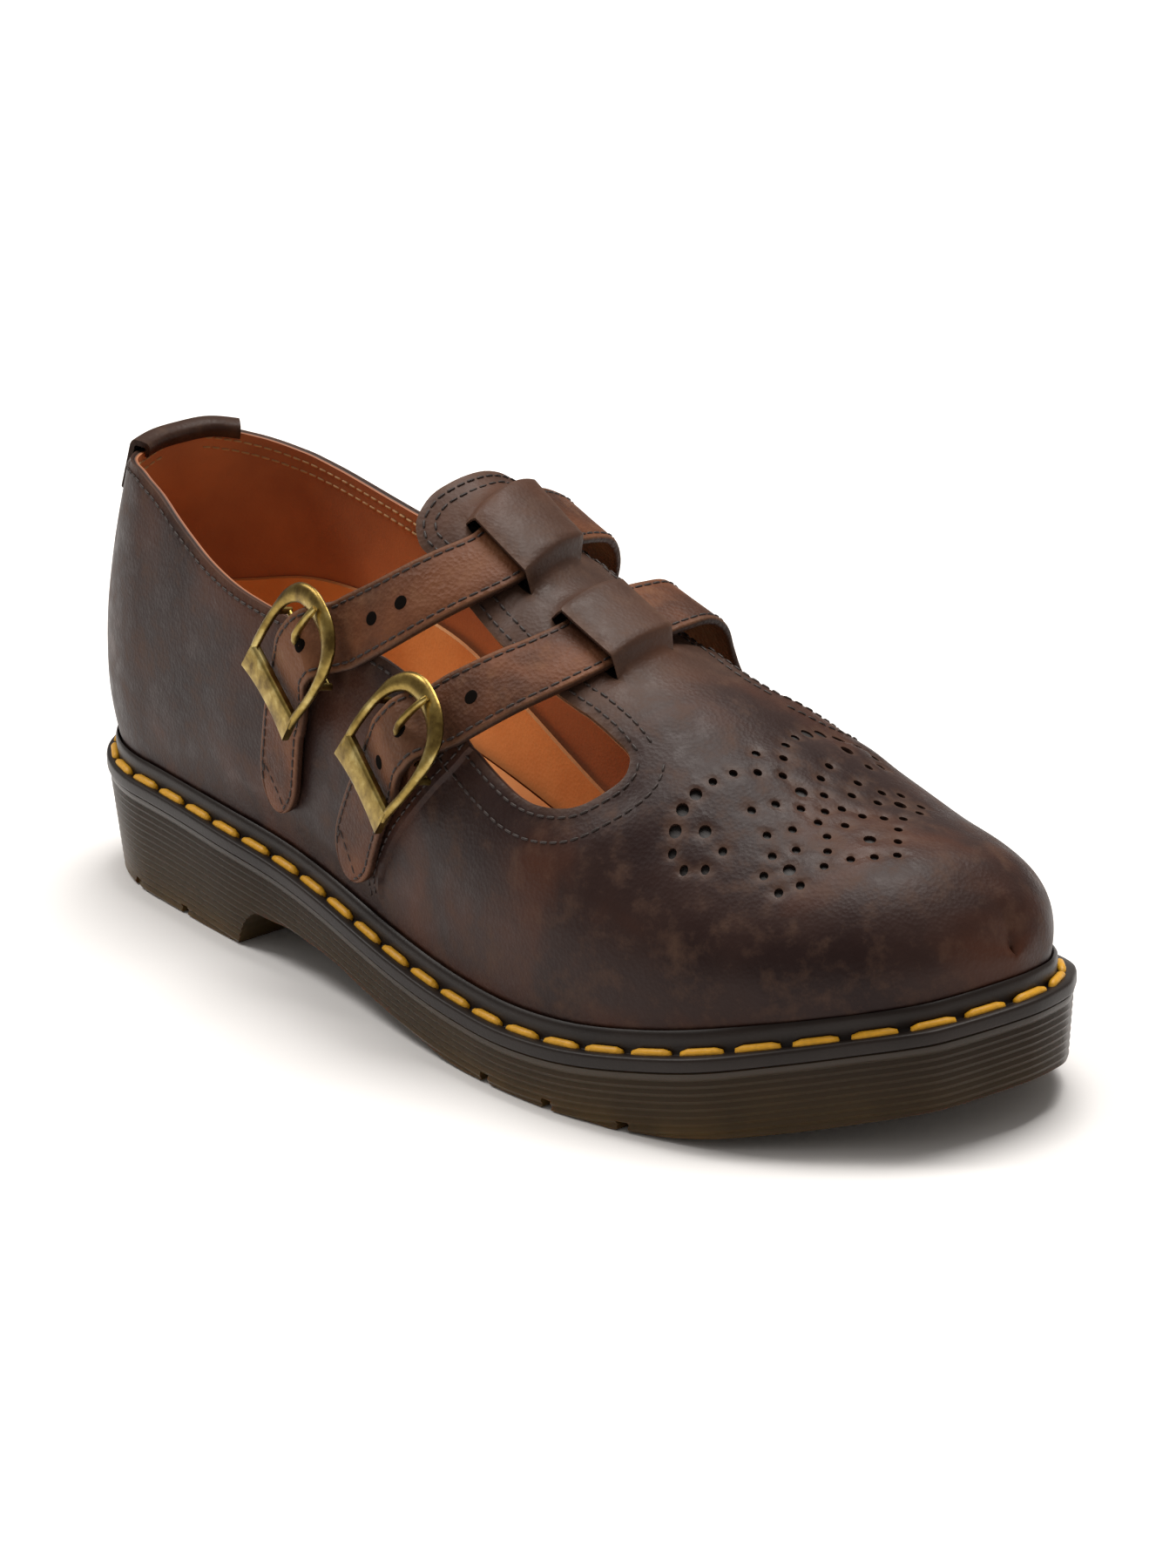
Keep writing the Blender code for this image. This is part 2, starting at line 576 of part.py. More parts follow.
def chart_of(point):
    """Chart point of a spot near the last."""
    spot, _, index, _ = TREE.find_nearest(Vector(point))
    i, j = divmod(index, cols_n - 1)
    corner = GRID[i, j]
    down = GRID[i + 1, j] - corner
    over = GRID[i, j + 1] - corner
    away = np.array(spot) - corner
    row = i + float(np.clip(away @ down / (down @ down), 0, 1))
    col = j + float(np.clip(away @ over / (over @ over), 0, 1))
    return chart_from_row(row, -1 if col < HALF_RIB else 1, abs(col - HALF_RIB) / HALF_RIB)


class Path:
    """Line on the last with its own along, across and out directions."""

    def __init__(self, points, pin):
        p = np.array([drape(q)[0] for q in points])
        run = np.r_[0, np.cumsum(np.linalg.norm(np.diff(p, axis=0), axis=1))]
        s = np.linspace(0, run[-1], 160)
        fine = np.column_stack([smooth(run, p[:, k], s) for k in range(3)])
        fine = np.array([drape(q)[0] for q in fine])
        for _ in range(12):
            fine[1:-1] = (fine[:-2] + 2 * fine[1:-1] + fine[2:]) / 4
        self.line = np.array([drape(q)[0] for q in fine])
        self.out = np.array([drape(q)[1] for q in self.line])
        for _ in range(14):
            self.out[1:-1] = (self.out[:-2] + 2 * self.out[1:-1] + self.out[2:]) / 4
        self.out /= np.linalg.norm(self.out, axis=1, keepdims=True)
        run = np.r_[0, np.cumsum(np.linalg.norm(np.diff(self.line, axis=0), axis=1))]
        at = int(np.argmin(np.linalg.norm(self.line - np.array(pin, float), axis=1)))
        self.s = run[at] - run
        self.first = float(self.s[0]) - 1.5
        self.last = float(self.s[-1])

    def frame(self, s):
        order = np.argsort(self.s)
        spot = np.array([np.interp(s, self.s[order], self.line[order, k]) for k in range(3)])
        ahead = np.array([np.interp(s + 1.5, self.s[order], self.line[order, k]) for k in range(3)])
        behind = np.array([np.interp(s - 1.5, self.s[order], self.line[order, k]) for k in range(3)])
        out = np.array([np.interp(s, self.s[order], self.out[order, k]) for k in range(3)])
        out /= np.linalg.norm(out)
        along = ahead - behind
        along -= out * (along @ out)
        along /= np.linalg.norm(along)
        return spot, along, np.cross(out, along), out

    def place(self, s, across, rise):
        """Point at s along, a distance across and a height over the last."""
        spot, _, side, _ = self.frame(s)
        foot, normal = drape(spot + side * across)
        return foot + normal * rise


# Middle lines of the straps from the medial quarter over the foot to the tail, then the buckle bar
REAR_PATH = Path([(139.5, 33.0, 87), (145.5, 25.5, 100), (150.3, 15, 110), (153.4, 4.8, 112), (156.4, -4.8, 111),
                  (158.6, -14.8, 107), (154.4, -25, 103), (144.5, -32.5, 96), (133.0, -36, 89.5), (121.8, -37.4, 83.5),
                  (115.5, -38.2, 74.5), (111.2, -38.5, 65), (108.8, -38.2, 56), (106.8, -37.8, 48), (105.0, -37.4, 41.0)],
                 (121.8, -37.4, 83.5))
FRONT_PATH = Path([(180.5, 34.5, 79), (182.2, 27, 88), (184.8, 15, 93.5), (185.8, 3.6, 95.5), (187.4, -5, 96),
                   (188.3, -15.2, 93.5), (184.4, -27.5, 88.8), (175.5, -36.5, 82.5), (168.6, -39.8, 77.8), (162.4, -42.0, 72.4),
                   (155.6, -43.8, 64.5), (149.6, -44.6, 56.5), (144.2, -44.4, 48.5), (139.6, -43.4, 40.5), (136.2, -42.6, 33.5)],
                  (162.4, -42.0, 72.4))


def stub_end(path):
    """Two chart points of the upper's stub just under the strap's first edge, toe end first."""
    half = STRAP_WIDE / 2 + 0.7
    ends = [path.place(path.first + 0.5, a, 0.0) for a in (-half, half)]
    return [chart_of(p) for p in sorted(ends, key=lambda p: -p[0])]


# Pattern lines on the last, as x with height on the sides and x with y on top
COLLAR_LATERAL = [(19, 105.5), (23, 105.9), (30, 106.4), (38, 105.4), (46, 102.6), (54, 98.8), (61, 95.7), (69, 92.6), (78, 90.2),
                  (95, 87.5), (112, 86.6), (130, 86.4), (144, 85.6), (154, 83.2), (164, 79.6), (173, 76.3)]
WINDOW_LATERAL = [(180, 72.6), (189, 69.0), (197, 66.6), (204, 66.0), (210.5, 67.0), (215.5, 70.2), (217.6, 74.0)]
BAR_LATERAL = [(215.6, -26.6), (209, -25.8), (201, -25.8), (190, -26.6), (176, -26.8), (160, -25.6), (147, -24.2)]
TONGUE = [(140.5, -23.6), (137.6, -21.6), (136.6, -17.5), (137.6, -9.5), (137.9, -4.5), (137.6, 1.0), (136.8, 8.0),
          (137.8, 11.6), (140.4, 13.6)]
BAR_MEDIAL = [(147, 14.6), (158, 15.6), (172, 17.0), (186, 18.0), (198, 18.6), (206, 19.4), (212.5, 21.4)]
WINDOW_MEDIAL = [(216.0, 74.2), (216.6, 70.2), (213.6, 66.8), (208.0, 65.2), (202.0, 66.4)]
STUB_FRONT = [(196.5, 69.6), (193.4, 73.2)]
TEARDROP = [(169.4, 77.6), (165.8, 74.0), (161.0, 72.4), (156.4, 74.2), (153.2, 78.4)]
COLLAR_MEDIAL = [(127.5, 86.9), (120, 86.3), (110, 86.4), (96, 87.5), (84, 88.9), (72, 90.8), (66, 92.0), (56, 93.9), (46, 95.8),
                 (37, 97.6), (30, 99.5), (24.8, 101.4), (21.2, 103.0), (18.8, 104.4)]
BACK_HEIGHT = 105.4


def heights(rows, side):
    return [at_height(x, z, side) for x, z in rows]


def plans(rows):
    return [at_plan(x, y) for x, y in rows]


back_share = float(np.interp(BACK_HEIGHT, GRID[0, :HALF_RIB + 1, 2], np.linspace(1, 0, HALF_RIB + 1)))
BACK_TOP = (HEEL_X - 100 * back_share, 0.0)

lateral_edge = curve([BACK_TOP] + heights(COLLAR_LATERAL, -1) + heights(WINDOW_LATERAL, -1) + plans(BAR_LATERAL)
                     + plans(TONGUE), 4.8)
# Stub ends stay sharp, so the medial side is joined from separate curves
front_toe, front_heel = stub_end(FRONT_PATH)
rear_toe, rear_heel = stub_end(REAR_PATH)
medial_bar = curve([plans(TONGUE)[-1]] + plans(BAR_MEDIAL) + heights(WINDOW_MEDIAL, 1) + heights(STUB_FRONT, 1) + [front_toe], 4.8)
medial_drop = curve([front_heel] + heights(TEARDROP, 1) + [rear_toe], 3.6)
medial_collar = curve([rear_heel] + heights(COLLAR_MEDIAL, 1) + [BACK_TOP], 4.8)
opening = np.vstack([lateral_edge, medial_bar[1:], medial_drop, medial_collar[:-1]])

# Slits in the bar, left and right of each bridge: x middle, y
SLIT_HALF = 12.4
SLITS = [(158.5, -14.6), (153.4, 4.8), (188.2, -15.2), (185.8, 3.6)]
BRIDGE_RISE = 5.3


def slit_loop(x, y):
    lean = 1.0 if y < 0 else -1.0
    rows = [(-SLIT_HALF, 0), (-SLIT_HALF * 0.72, 0.25), (-SLIT_HALF * 0.4, 0.3), (0, 0.3), (SLIT_HALF * 0.4, 0.3),
            (SLIT_HALF * 0.72, 0.25), (SLIT_HALF, 0), (SLIT_HALF * 0.72, -0.25), (SLIT_HALF * 0.4, -0.3), (0, -0.3),
            (-SLIT_HALF * 0.4, -0.3), (-SLIT_HALF * 0.72, -0.25)]
    return np.array([at_plan(x + dx, y + dy * lean) for dx, dy in rows])


slit_loops = [slit_loop(x, y) for x, y in SLITS]

# Where the quarters overlap the vamp: a step in the outer face
SEAM_LATERAL = [(178.5, 73.2), (176.5, 70.0), (171.0, 64.0), (163.0, 55.5), (153.0, 44.0), (147.0, 34.0), (145.0, 24.0), (144.5, 17.6)]
SEAM_MEDIAL = [(198.5, 68.2), (196.5, 64.5), (190.0, 58.0), (181.0, 49.5), (171.0, 39.0), (164.0, 29.0), (161.0, 21.0), (160.0, 15.6)]
seam_l = curve(heights(SEAM_LATERAL, -1), 6.0)
seam_m = curve(heights(SEAM_MEDIAL, 1), 6.0)


def foot_boundary():
    fan = [(HEEL_X - 100 * math.cos(t), 100 * math.sin(t)) for t in np.linspace(-math.pi / 2, math.pi / 2, 25)]
    steps = list(np.arange(HEEL_X + 8.2, A_END - 22, 8.2)) + list(np.linspace(A_END - 20, A_END, 5))
    lateral = [(a, -100.0) for a in steps]
    medial = [(a, 100.0) for a in steps]
    tip = [(A_END, b) for b in (-66.0, -33.0, 0.0, 33.0, 66.0)]
    return np.array(fan[::-1] + lateral + tip + medial[::-1])


def chart_dots(pitch):
    """Even dots over the chart."""
    dots = []
    for a in np.arange(HEEL_X + pitch * 0.5, A_END - 3, pitch):
        span = pitch if a < A_END - 30 else pitch * 1.6
        dots += [(a, b) for b in np.arange(-96, 97, span)]
    for r in np.arange(22, 97, pitch + 1.5):
        count = max(3, int(round(math.pi * r / (pitch + 1.5))))
        dots += [(HEEL_X - r * math.cos(t), r * math.sin(t)) for t in np.linspace(-math.pi / 2, math.pi / 2, count + 1)]
    return np.array(dots)


def lift_of(points, where):
    """Height of the outer face over the last at chart points."""
    lift = np.zeros(len(points))
    fade = ease((91.5 - np.abs(points[:, 1])) / 7.0) * ease((where[:, 0] - 60.0) / 30.0)
    vamp_bar = (where[:, 0] > 134) & (where[:, 1] > -29) & (where[:, 1] < 22.5)
    for line, side in ((seam_l, -1), (seam_m, 1)):
        reach, sign = to_line(points, line)
        here = (points[:, 1] * side > 0) & ~vamp_bar
        behind = reach * sign * BEHIND_SIGN[side]
        lift = np.where(here, STEP * fade * ease((behind + 0.6) / 1.2), lift)
    bar = (where[:, 0] > 136) & (where[:, 0] < 214) & (where[:, 1] > -30) & (where[:, 1] < 24) & (where[:, 2] > 70)
    for rear_l, rear_m in ((0, 1), (2, 3)):
        (xl, yl), (xm, ym) = SLITS[rear_l], SLITS[rear_m]
        t = (where[:, 1] - ym) / (yl - ym)
        middle = xm + (xl - xm) * t
        off = np.abs(where[:, 0] - middle)
        between = bar & (t > 0.0) & (t < 1.0) & (off < SLIT_HALF)
        lift = np.where(between, BRIDGE_RISE * ease((SLIT_HALF - off) / 3.2), lift)
        margin = bar & (off < SLIT_HALF) & (((t > -1.0) & (t < 0.0)) | ((t > 1.0) & (t < 2.0)))
        lift = np.where(margin, -0.7 * ease((SLIT_HALF - off) / 3.2), lift)
    return lift


# The sign that means behind each seam, from a spot known to be on the quarter
BEHIND_SIGN = {-1: 1, 1: 1}
for side, line in ((-1, seam_l), (1, seam_m)):
    spot = np.array([at_height(100.0, 60.0, side)])
    BEHIND_SIGN[side] = float(to_line(spot, line)[1][0])


def upper_sheet():
    border = foot_boundary()
    loops = [border, opening] + slit_loops
    lines = []
    for line in (seam_l, seam_m):
        d = np.gradient(line, axis=0)
        d /= np.linalg.norm(d, axis=1, keepdims=True)
        side = np.column_stack([-d[:, 1], d[:, 0]])
        lines += [line[:-1] + 0.6 * side[:-1], line[:-1] - 0.6 * side[:-1]]
    points = []
    edges = []
    for loop in loops:
        base = len(points)
        points += [tuple(p) for p in loop]
        edges += [(base + k, base + (k + 1) % len(loop)) for k in range(len(loop))]
    for line in lines:
        base = len(points)
        points += [tuple(p) for p in line]
        edges += [(base + k, base + k + 1) for k in range(len(line) - 1)]
    dots = chart_dots(9.2)
    keep = inside(dots, border) & ~inside(dots, opening)
    for loop in [np.vstack([q, q[:1]]) for q in loops] + lines:
        reach, _ = to_line(dots, loop)
        keep &= reach > 3.4
    dots = dots[keep]
    for (xl, yl), (xm, ym) in ((SLITS[0], SLITS[1]), (SLITS[2], SLITS[3])):
        extra = []
        for t in (0.25, 0.5, 0.75):
            for off in (-SLIT_HALF, -SLIT_HALF * 0.72, -SLIT_HALF * 0.36, 0.0, SLIT_HALF * 0.36, SLIT_HALF * 0.72, SLIT_HALF):
                extra.append(at_plan(xm + (xl - xm) * t + off, ym + (yl - ym) * t))
        extra = np.array(extra)
        reach = np.array([np.min(np.hypot(*(extra - d).T)) for d in dots])
        dots = np.vstack([dots[reach > 3.0], extra])
    points += [tuple(p) for p in dots]
    verts, _, tris, _, _, _ = delaunay_2d_cdt([Vector(p) for p in points], edges, [], 0, 1e-5)
    flat = np.array([(v.x, v.y) for v in verts])
    middle = np.array([flat[list(t)].mean(axis=0) for t in tris])
    keep = inside(middle, border) & ~inside(middle, opening)
    for loop in slit_loops:
        keep &= ~inside(middle, loop)
    tris = [t for t, k in zip(tris, keep) if k]
    where, normal = on_last(flat[:, 0], flat[:, 1])
    lifted = where + normal * lift_of(flat, where)[:, None]
    return flat, lifted, tris


chart_points, sheet_points, sheet_tris = upper_sheet()
upper = solid("upper", sheet_points, sheet_tris, BROWN)
thick = upper.modifiers.new("wall", "SOLIDIFY")
thick.thickness = WALL * 0.001
thick.offset = -1
thick.use_even_offset = True
thick.use_quality_normals = True

def strap(name, path, look, bar_edge):
    """Strap: under side height along it, then a thick band with eased edges."""
    knots = [(path.last, 1.5), (path.last + 10, 1.6), (-21, 2.6), (-15, 3.2), (-8, 5.2), (-4.5, 6.6), (2.6, 6.6), (4.6, 5.0),
             (6.8, 2.3), (10.0, 1.5), (14.0, 1.5), (20.0, 1.5), (bar_edge - 4.0, 1.2), (bar_edge + 1.5, 0.45), (path.first - 32.0, 0.45), (path.first - 26.0, 2.4),
             (path.first - 20.0, 4.6), (path.first - 13.0, 4.0), (path.first - 6.0, 1.2),
             (path.first, -0.7)]
    xs = [k[0] for k in knots]
    zs = [k[1] for k in knots]
    stations = list(np.linspace(path.last + 1.2, -21, 6)) + [-17, -13, -9, -6.5, -4.5, -1.5, 2.6, 4.6, 6.8, 10.0]
    stations += list(np.linspace(20, path.first, 14))
    rings = []
    for s in stations:
        rise = float(np.interp(s, xs, zs))
        half = STRAP_WIDE / 2 - 0.45 * float(ease((12 - abs(s)) / 4))
        if s < path.last + 11:
            q = (s - path.last) / 11.0
            half = max(2.0, half * math.sqrt(max(1 - (1 - q) ** 2, 0)) * 0.95)
        elif s < -21:
            half *= 0.95
        if s > bar_edge + 24:
            half += 0.7 * ease((s - bar_edge - 24) / 10.0)
        ring = []
        for share, high in STRAP_RING:
            ring.append(path.place(s, share * half, rise + high * STRAP_THICK))
        rings.append(ring)
    points = [p for ring in rings for p in ring]
    n = len(rings[0])
    last = (len(rings) - 1) * n
    faces = strip_faces(rings)
    for base in (0, last):
        faces += [(base + 0, base + 1, base + 2, base + 9), (base + 2, base + 3, base + 8, base + 9),
                  (base + 3, base + 4, base + 7, base + 8), (base + 4, base + 5, base + 6, base + 7)]
    return solid(name, points, faces, look)


def seat(path, turn, along_by, across_by):
    """Frame of a buckle, turned and moved on its strap."""
    spot, straight, level, out = path.frame(0.0)
    c, s = math.cos(math.radians(turn)), math.sin(math.radians(turn))
    along = straight * c + level * s
    side = level * c - straight * s
    return spot + along * along_by + side * across_by, along, side, out


REAR_SEAT = seat(REAR_PATH, 13.0, -1.5, 1.4)
FRONT_SEAT = seat(FRONT_PATH, 6.0, -1.5, -0.1)


def pin_hole(ob, place, name):
    spot, along, side, out = place
    spot = spot + along * 1.5
    points = []
    for rise in (3.0, 12.0):
        for k in range(12):
            t = k * math.pi / 6
            points.append(spot + out * rise + along * 2.9 * math.cos(t) + side * 1.7 * math.sin(t))
    faces = [tuple(range(12)), tuple(range(23, 11, -1))] + [(k, (k + 1) % 12, 12 + (k + 1) % 12, 12 + k) for k in range(12)]
    cut(ob, solid(name, points, faces, None, TOOLS))


STRAP_RING = [(-1, 0.3), (-1, 0.72), (-0.93, 1), (0, 1), (0.93, 1), (1, 0.72), (1, 0.3), (0.94, 0), (0, 0), (-0.94, 0)]
rear_strap = strap("strap_rear", REAR_PATH, STRAP_BROWN, 46.0)
front_strap = strap("strap_front", FRONT_PATH, STRAP_BROWN_2, 33.0)
pin_hole(rear_strap, REAR_SEAT, "cut_pin_hole_rear")
pin_hole(front_strap, FRONT_SEAT, "cut_pin_hole_front")


def tube(points, radius, sides, start_out, flat=1.0):
    """Rings of a bar along points; flat below 1 makes it wide across start_out."""
    p = np.array(points, float)
    n = len(p)
    rings = []
    for k in range(n):
        t = p[min(k + 1, n - 1)] - p[max(k - 1, 0)]
        t /= np.linalg.norm(t)
        out = start_out - t * (start_out @ t)
        out /= np.linalg.norm(out)
        side = np.cross(t, out)
        r = radius[k] if hasattr(radius, "__len__") else radius
        high = min(r, flat) if flat < 1.3 and flat != 1.0 else r
        rings.append([p[k] + high * math.cos(2 * math.pi * i / sides) * out + r * math.sin(2 * math.pi * i / sides) * side
                      for i in range(sides)])
    points = [q for ring in rings for q in ring]
    faces = strip_faces(rings)
    faces += [tuple(range(sides))[::-1], tuple(range((n - 1) * sides, n * sides))]
    return points, faces


def buckle(place, tag):
    """Brass frame, its pin and the leather loop that holds the middle bar."""
    metal = material("brass_" + tag, "8C7A35", 0.35, 1.0)
    pin_metal = material("pin_brass_" + tag, "9A8A45", 0.3, 1.0)
    chape_look = material("chape_leather_" + tag, "4A3026", 0.65, 0.0)
    spot, along, side, out = place

    def spot_at(s, across, rise):
        foot, normal = drape(spot + along * s + side * across)
        return foot + normal * rise

    # D that is wide at its round end, from one end of the plate to the other
    rod = [(-13.5, -10.8, 8.3, 1.1), (-9.5, -11.4, 8.2, 1.1), (-5.0, -11.9, 7.8, 1.1), (0.5, -11.9, 7.5, 1.2)]
    for k in range(1, 8):
        t = math.pi * k / 8
        c, s = math.cos(t), math.sin(t)
        rod.append((0.5 + 11.0 * s ** 0.8, -11.7 * math.copysign(abs(c) ** 0.8, c), 7.5, 1.25 + 1.05 * s))
    rod += [(s, -a, r, w) for s, a, r, w in rod[3::-1]]
    points, faces = tube([spot_at(*p[:3]) for p in rod], [p[3] for p in rod], 8, out, 1.15)
    frame = solid("buckle_frame_" + tag, points, faces, metal)
    bar, bar_faces = tube([spot_at(0.0, a, 3.9) for a in (-11.7, -6.0, 0.0, 6.0, 11.7)], 0.75, 6, out)
    posts = []
    for a in (-11.7, 11.7):
        posts.append(tube([spot_at(0.0, a, 3.3), spot_at(0.0, a, 7.3)], 0.9, 6, along))
    cut(frame, solid("join_bar_" + tag, bar, bar_faces, None, TOOLS), "UNION")
    for k, (post, post_faces) in enumerate(posts):
        cut(frame, solid("join_post_%s_%d" % (tag, k), post, post_faces, None, TOOLS), "UNION")
    # Flat plate over the strap, its outer edge a little hollow
    plate_rings = []
    for a in (-11.6, -7.5, -2.6, 2.6, 7.5, 11.6):
        hollow = 1.2 * (1 - (a / 11.6) ** 2)
        ring = [(-16.6 + hollow, 7.3), (-16.6 + hollow, 8.8), (-16.0 + hollow, 9.3), (-11.3, 9.3), (-10.7, 8.8), (-10.7, 7.3)]
        plate_rings.append([spot_at(s, a, r) for s, r in ring])
    plate = [q for ring in plate_rings for q in ring]
    plate_faces = strip_faces(plate_rings) + [tuple(range(6))[::-1], tuple(range(30, 36))]
    cut(frame, solid("join_plate_" + tag, plate, plate_faces, None, TOOLS), "UNION")

    # Pin: wraps the middle bar and rests on the round end
    wrap = [(1.75 * math.cos(math.radians(t)), 0.0, 3.9 + 1.75 * math.sin(math.radians(t)))
            for t in (-100, -135, -170, -205, -240)]
    wrap += [(0.6, 0.0, 6.6), (1.9, 0.0, 8.4), (4.2, 0.0, 9.8), (8.0, 0.0, 10.1), (12.0, 0.0, 9.8), (14.4, 0.0, 9.6)]
    points, faces = tube([spot_at(*p) for p in wrap], [0.7] * 10 + [0.45], 6, side)
    solid("buckle_pin_" + tag, points, faces, pin_metal)

    # Leather loop round the bar with a slot for the pin
    shape = [(-14.5, 1.65), (-8.5, 1.65), (-2.0, 1.65), (0.6, 1.85), (1.9, 2.5), (2.5, 3.9), (1.9, 5.1), (0.0, 5.7), (-2.6, 5.0),
             (-5.5, 3.4), (-8.5, 2.8), (-14.5, 2.7)]
    rings = [[spot_at(s, a, r) for s, r in shape] for a in (-6.6, -2.2, 2.2, 6.6)]
    points = [p for ring in rings for p in ring]
    n = len(shape)
    faces = strip_faces(rings)
    for base in (0, 3 * n):
        faces += [(base + 0, base + 1, base + 10, base + 11), (base + 1, base + 2, base + 9, base + 10),
                  (base + 2, base + 3, base + 4, base + 5, base + 6, base + 7, base + 8, base + 9)]
    loop = solid("chape_" + tag, points, faces, chape_look)
    hole, hole_faces = tube([spot_at(0.0, a, 3.9) for a in (-9.0, 9.0)], 1.15, 10, out)
    cut(loop, solid("cut_bar_" + tag, hole, hole_faces, None, TOOLS))
    slot = ((-4.0, 0.6), (4.0, 0.6), (4.0, 8.5), (-4.0, 8.5))
    slot_points = [spot_at(s, -1.3, r) for s, r in slot] + [spot_at(s, 1.3, r) for s, r in slot]
    slot_faces = [(3, 2, 1, 0), (4, 5, 6, 7), (0, 1, 5, 4), (1, 2, 6, 5), (2, 3, 7, 6), (3, 0, 4, 7)]
    cut(loop, solid("cut_slot_" + tag, slot_points, slot_faces, None, TOOLS))


buckle(REAR_SEAT, "rear")
buckle(FRONT_SEAT, "front")


def collar_height(row, side):
    """Height of the cut edge on a rib of the heel."""
    shares = np.linspace(0.1, 1.0, 400)
    charts = np.array([chart_from_row(row, side, s) for s in shares])
    share = shares[inside(charts, opening)].max()
    return float(np.interp(1 - share, np.linspace(0, 1, HALF_RIB + 1), GRID[int(round(row)), :HALF_RIB + 1, 2]))


def heel_tab():
    """Folded leather over the back of the collar."""
    shape = [(0.5, -11.0), (0.5, 0.1), (0.2, 0.6), (-2.4, 0.6), (-2.7, 0.1), (-2.7, -1.6), (-3.7, -1.6), (-3.7, 0.8),
             (-2.8, 1.9), (0.7, 1.9), (1.7, 0.8), (1.7, -11.0)]
    rings = []
    for x_row, side in [(r, -1) for r in (9.6, 7.2, 4.8, 2.4)] + [(0.0, -1)] + [(r, 1) for r in (2.4, 4.8, 7.2, 9.6)]:
        turn = x_row / FAN_ROWS
        line = rib(turn, side)
        height = collar_height(x_row, side) + 0.2
        ring = []
        for n, h in shape:
            z = height + h
            foot = np.array([np.interp(z, line[:, 2], line[:, k]) for k in range(3)])
            share = float(np.interp(z, GRID[int(round(x_row)), :HALF_RIB + 1, 2], np.linspace(1, 0, HALF_RIB + 1)))
            a, b = chart_from_row(x_row, side, share)
            _, normal = on_last(np.array([a]), np.array([b if abs(b) > 1e-6 else 1e-6 * side]))
            ring.append(foot + normal[0] * n)
        rings.append(ring)
    points = [p for ring in rings for p in ring]
    k = len(shape)
    ends = []
    for base in (0, (len(rings) - 1) * k):
        ends += [(base, base + 1, base + 10, base + 11), (base + 1, base + 2, base + 9, base + 10),
                 (base + 2, base + 3, base + 8, base + 9), (base + 3, base + 4, base + 7, base + 8),
                 (base + 4, base + 5, base + 6, base + 7)]
    return solid("heel_tab", points, strip_faces(rings) + ends, TAB_BROWN)


heel_tab()
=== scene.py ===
# Looks of the double strap mary jane shoe, right foot. Sizes are millimetres in the shoe's own
# frame, x from the back of the heel to the toe, y to the inner side, z up from the floor; each
# mesh is moved to the row frame, in metres, as it is made.
import math

import bmesh
import bpy
import numpy as np
from mathutils import Matrix, Vector
from mathutils.bvhtree import BVHTree
from mathutils.geometry import delaunay_2d_cdt
from mathutils.kdtree import KDTree


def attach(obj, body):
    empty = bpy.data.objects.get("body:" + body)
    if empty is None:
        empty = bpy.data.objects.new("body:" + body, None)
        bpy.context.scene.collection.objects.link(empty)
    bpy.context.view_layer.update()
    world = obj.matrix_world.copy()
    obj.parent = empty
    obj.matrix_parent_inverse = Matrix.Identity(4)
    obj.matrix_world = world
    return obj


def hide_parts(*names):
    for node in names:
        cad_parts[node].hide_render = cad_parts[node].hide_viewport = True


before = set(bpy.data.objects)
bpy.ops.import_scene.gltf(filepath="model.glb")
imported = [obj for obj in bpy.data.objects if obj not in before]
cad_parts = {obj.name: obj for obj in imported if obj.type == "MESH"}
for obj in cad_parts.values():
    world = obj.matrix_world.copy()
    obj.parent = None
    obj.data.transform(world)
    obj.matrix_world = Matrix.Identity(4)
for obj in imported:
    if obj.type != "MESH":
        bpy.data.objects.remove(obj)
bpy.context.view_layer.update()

# Outsole. One moulded block of brown, slightly clear rubber: fine ribs run round its side, the
# heel block ends in a breast, the shank arches and the toe springs. It hangs under the welt, so
# its outline is the welt's, and both follow the last, whose sections come first.
LENGTH = 300.0
BALL = 108.0
INSTEP = 121.5
HEEL_TOP = 29.6
WELT_LINE = [
    (-0.067, 1.007), (0.0, 1.0), (0.2, 0.976), (0.3, 0.919), (0.4, 0.811), (0.5, 0.649), (0.6, 0.537),
    (0.6667, 0.5135), (0.7333, 0.544), (0.8, 0.628), (0.9, 0.807), (1.0, 1.003), (1.0667, 1.135),
]
FLOOR_LINE = [
    (0.318, 0.365), (0.36, 0.365), (0.4, 0.346), (0.435, 0.297), (0.465, 0.236), (0.51, 0.159),
    (0.548, 0.084), (0.585, 0.027), (0.62, 0.0), (0.775, 0.0), (0.81, 0.012), (0.85, 0.064), (0.907, 0.152),
    (0.963, 0.275), (1.0, 0.368), (1.05, 0.52),
]
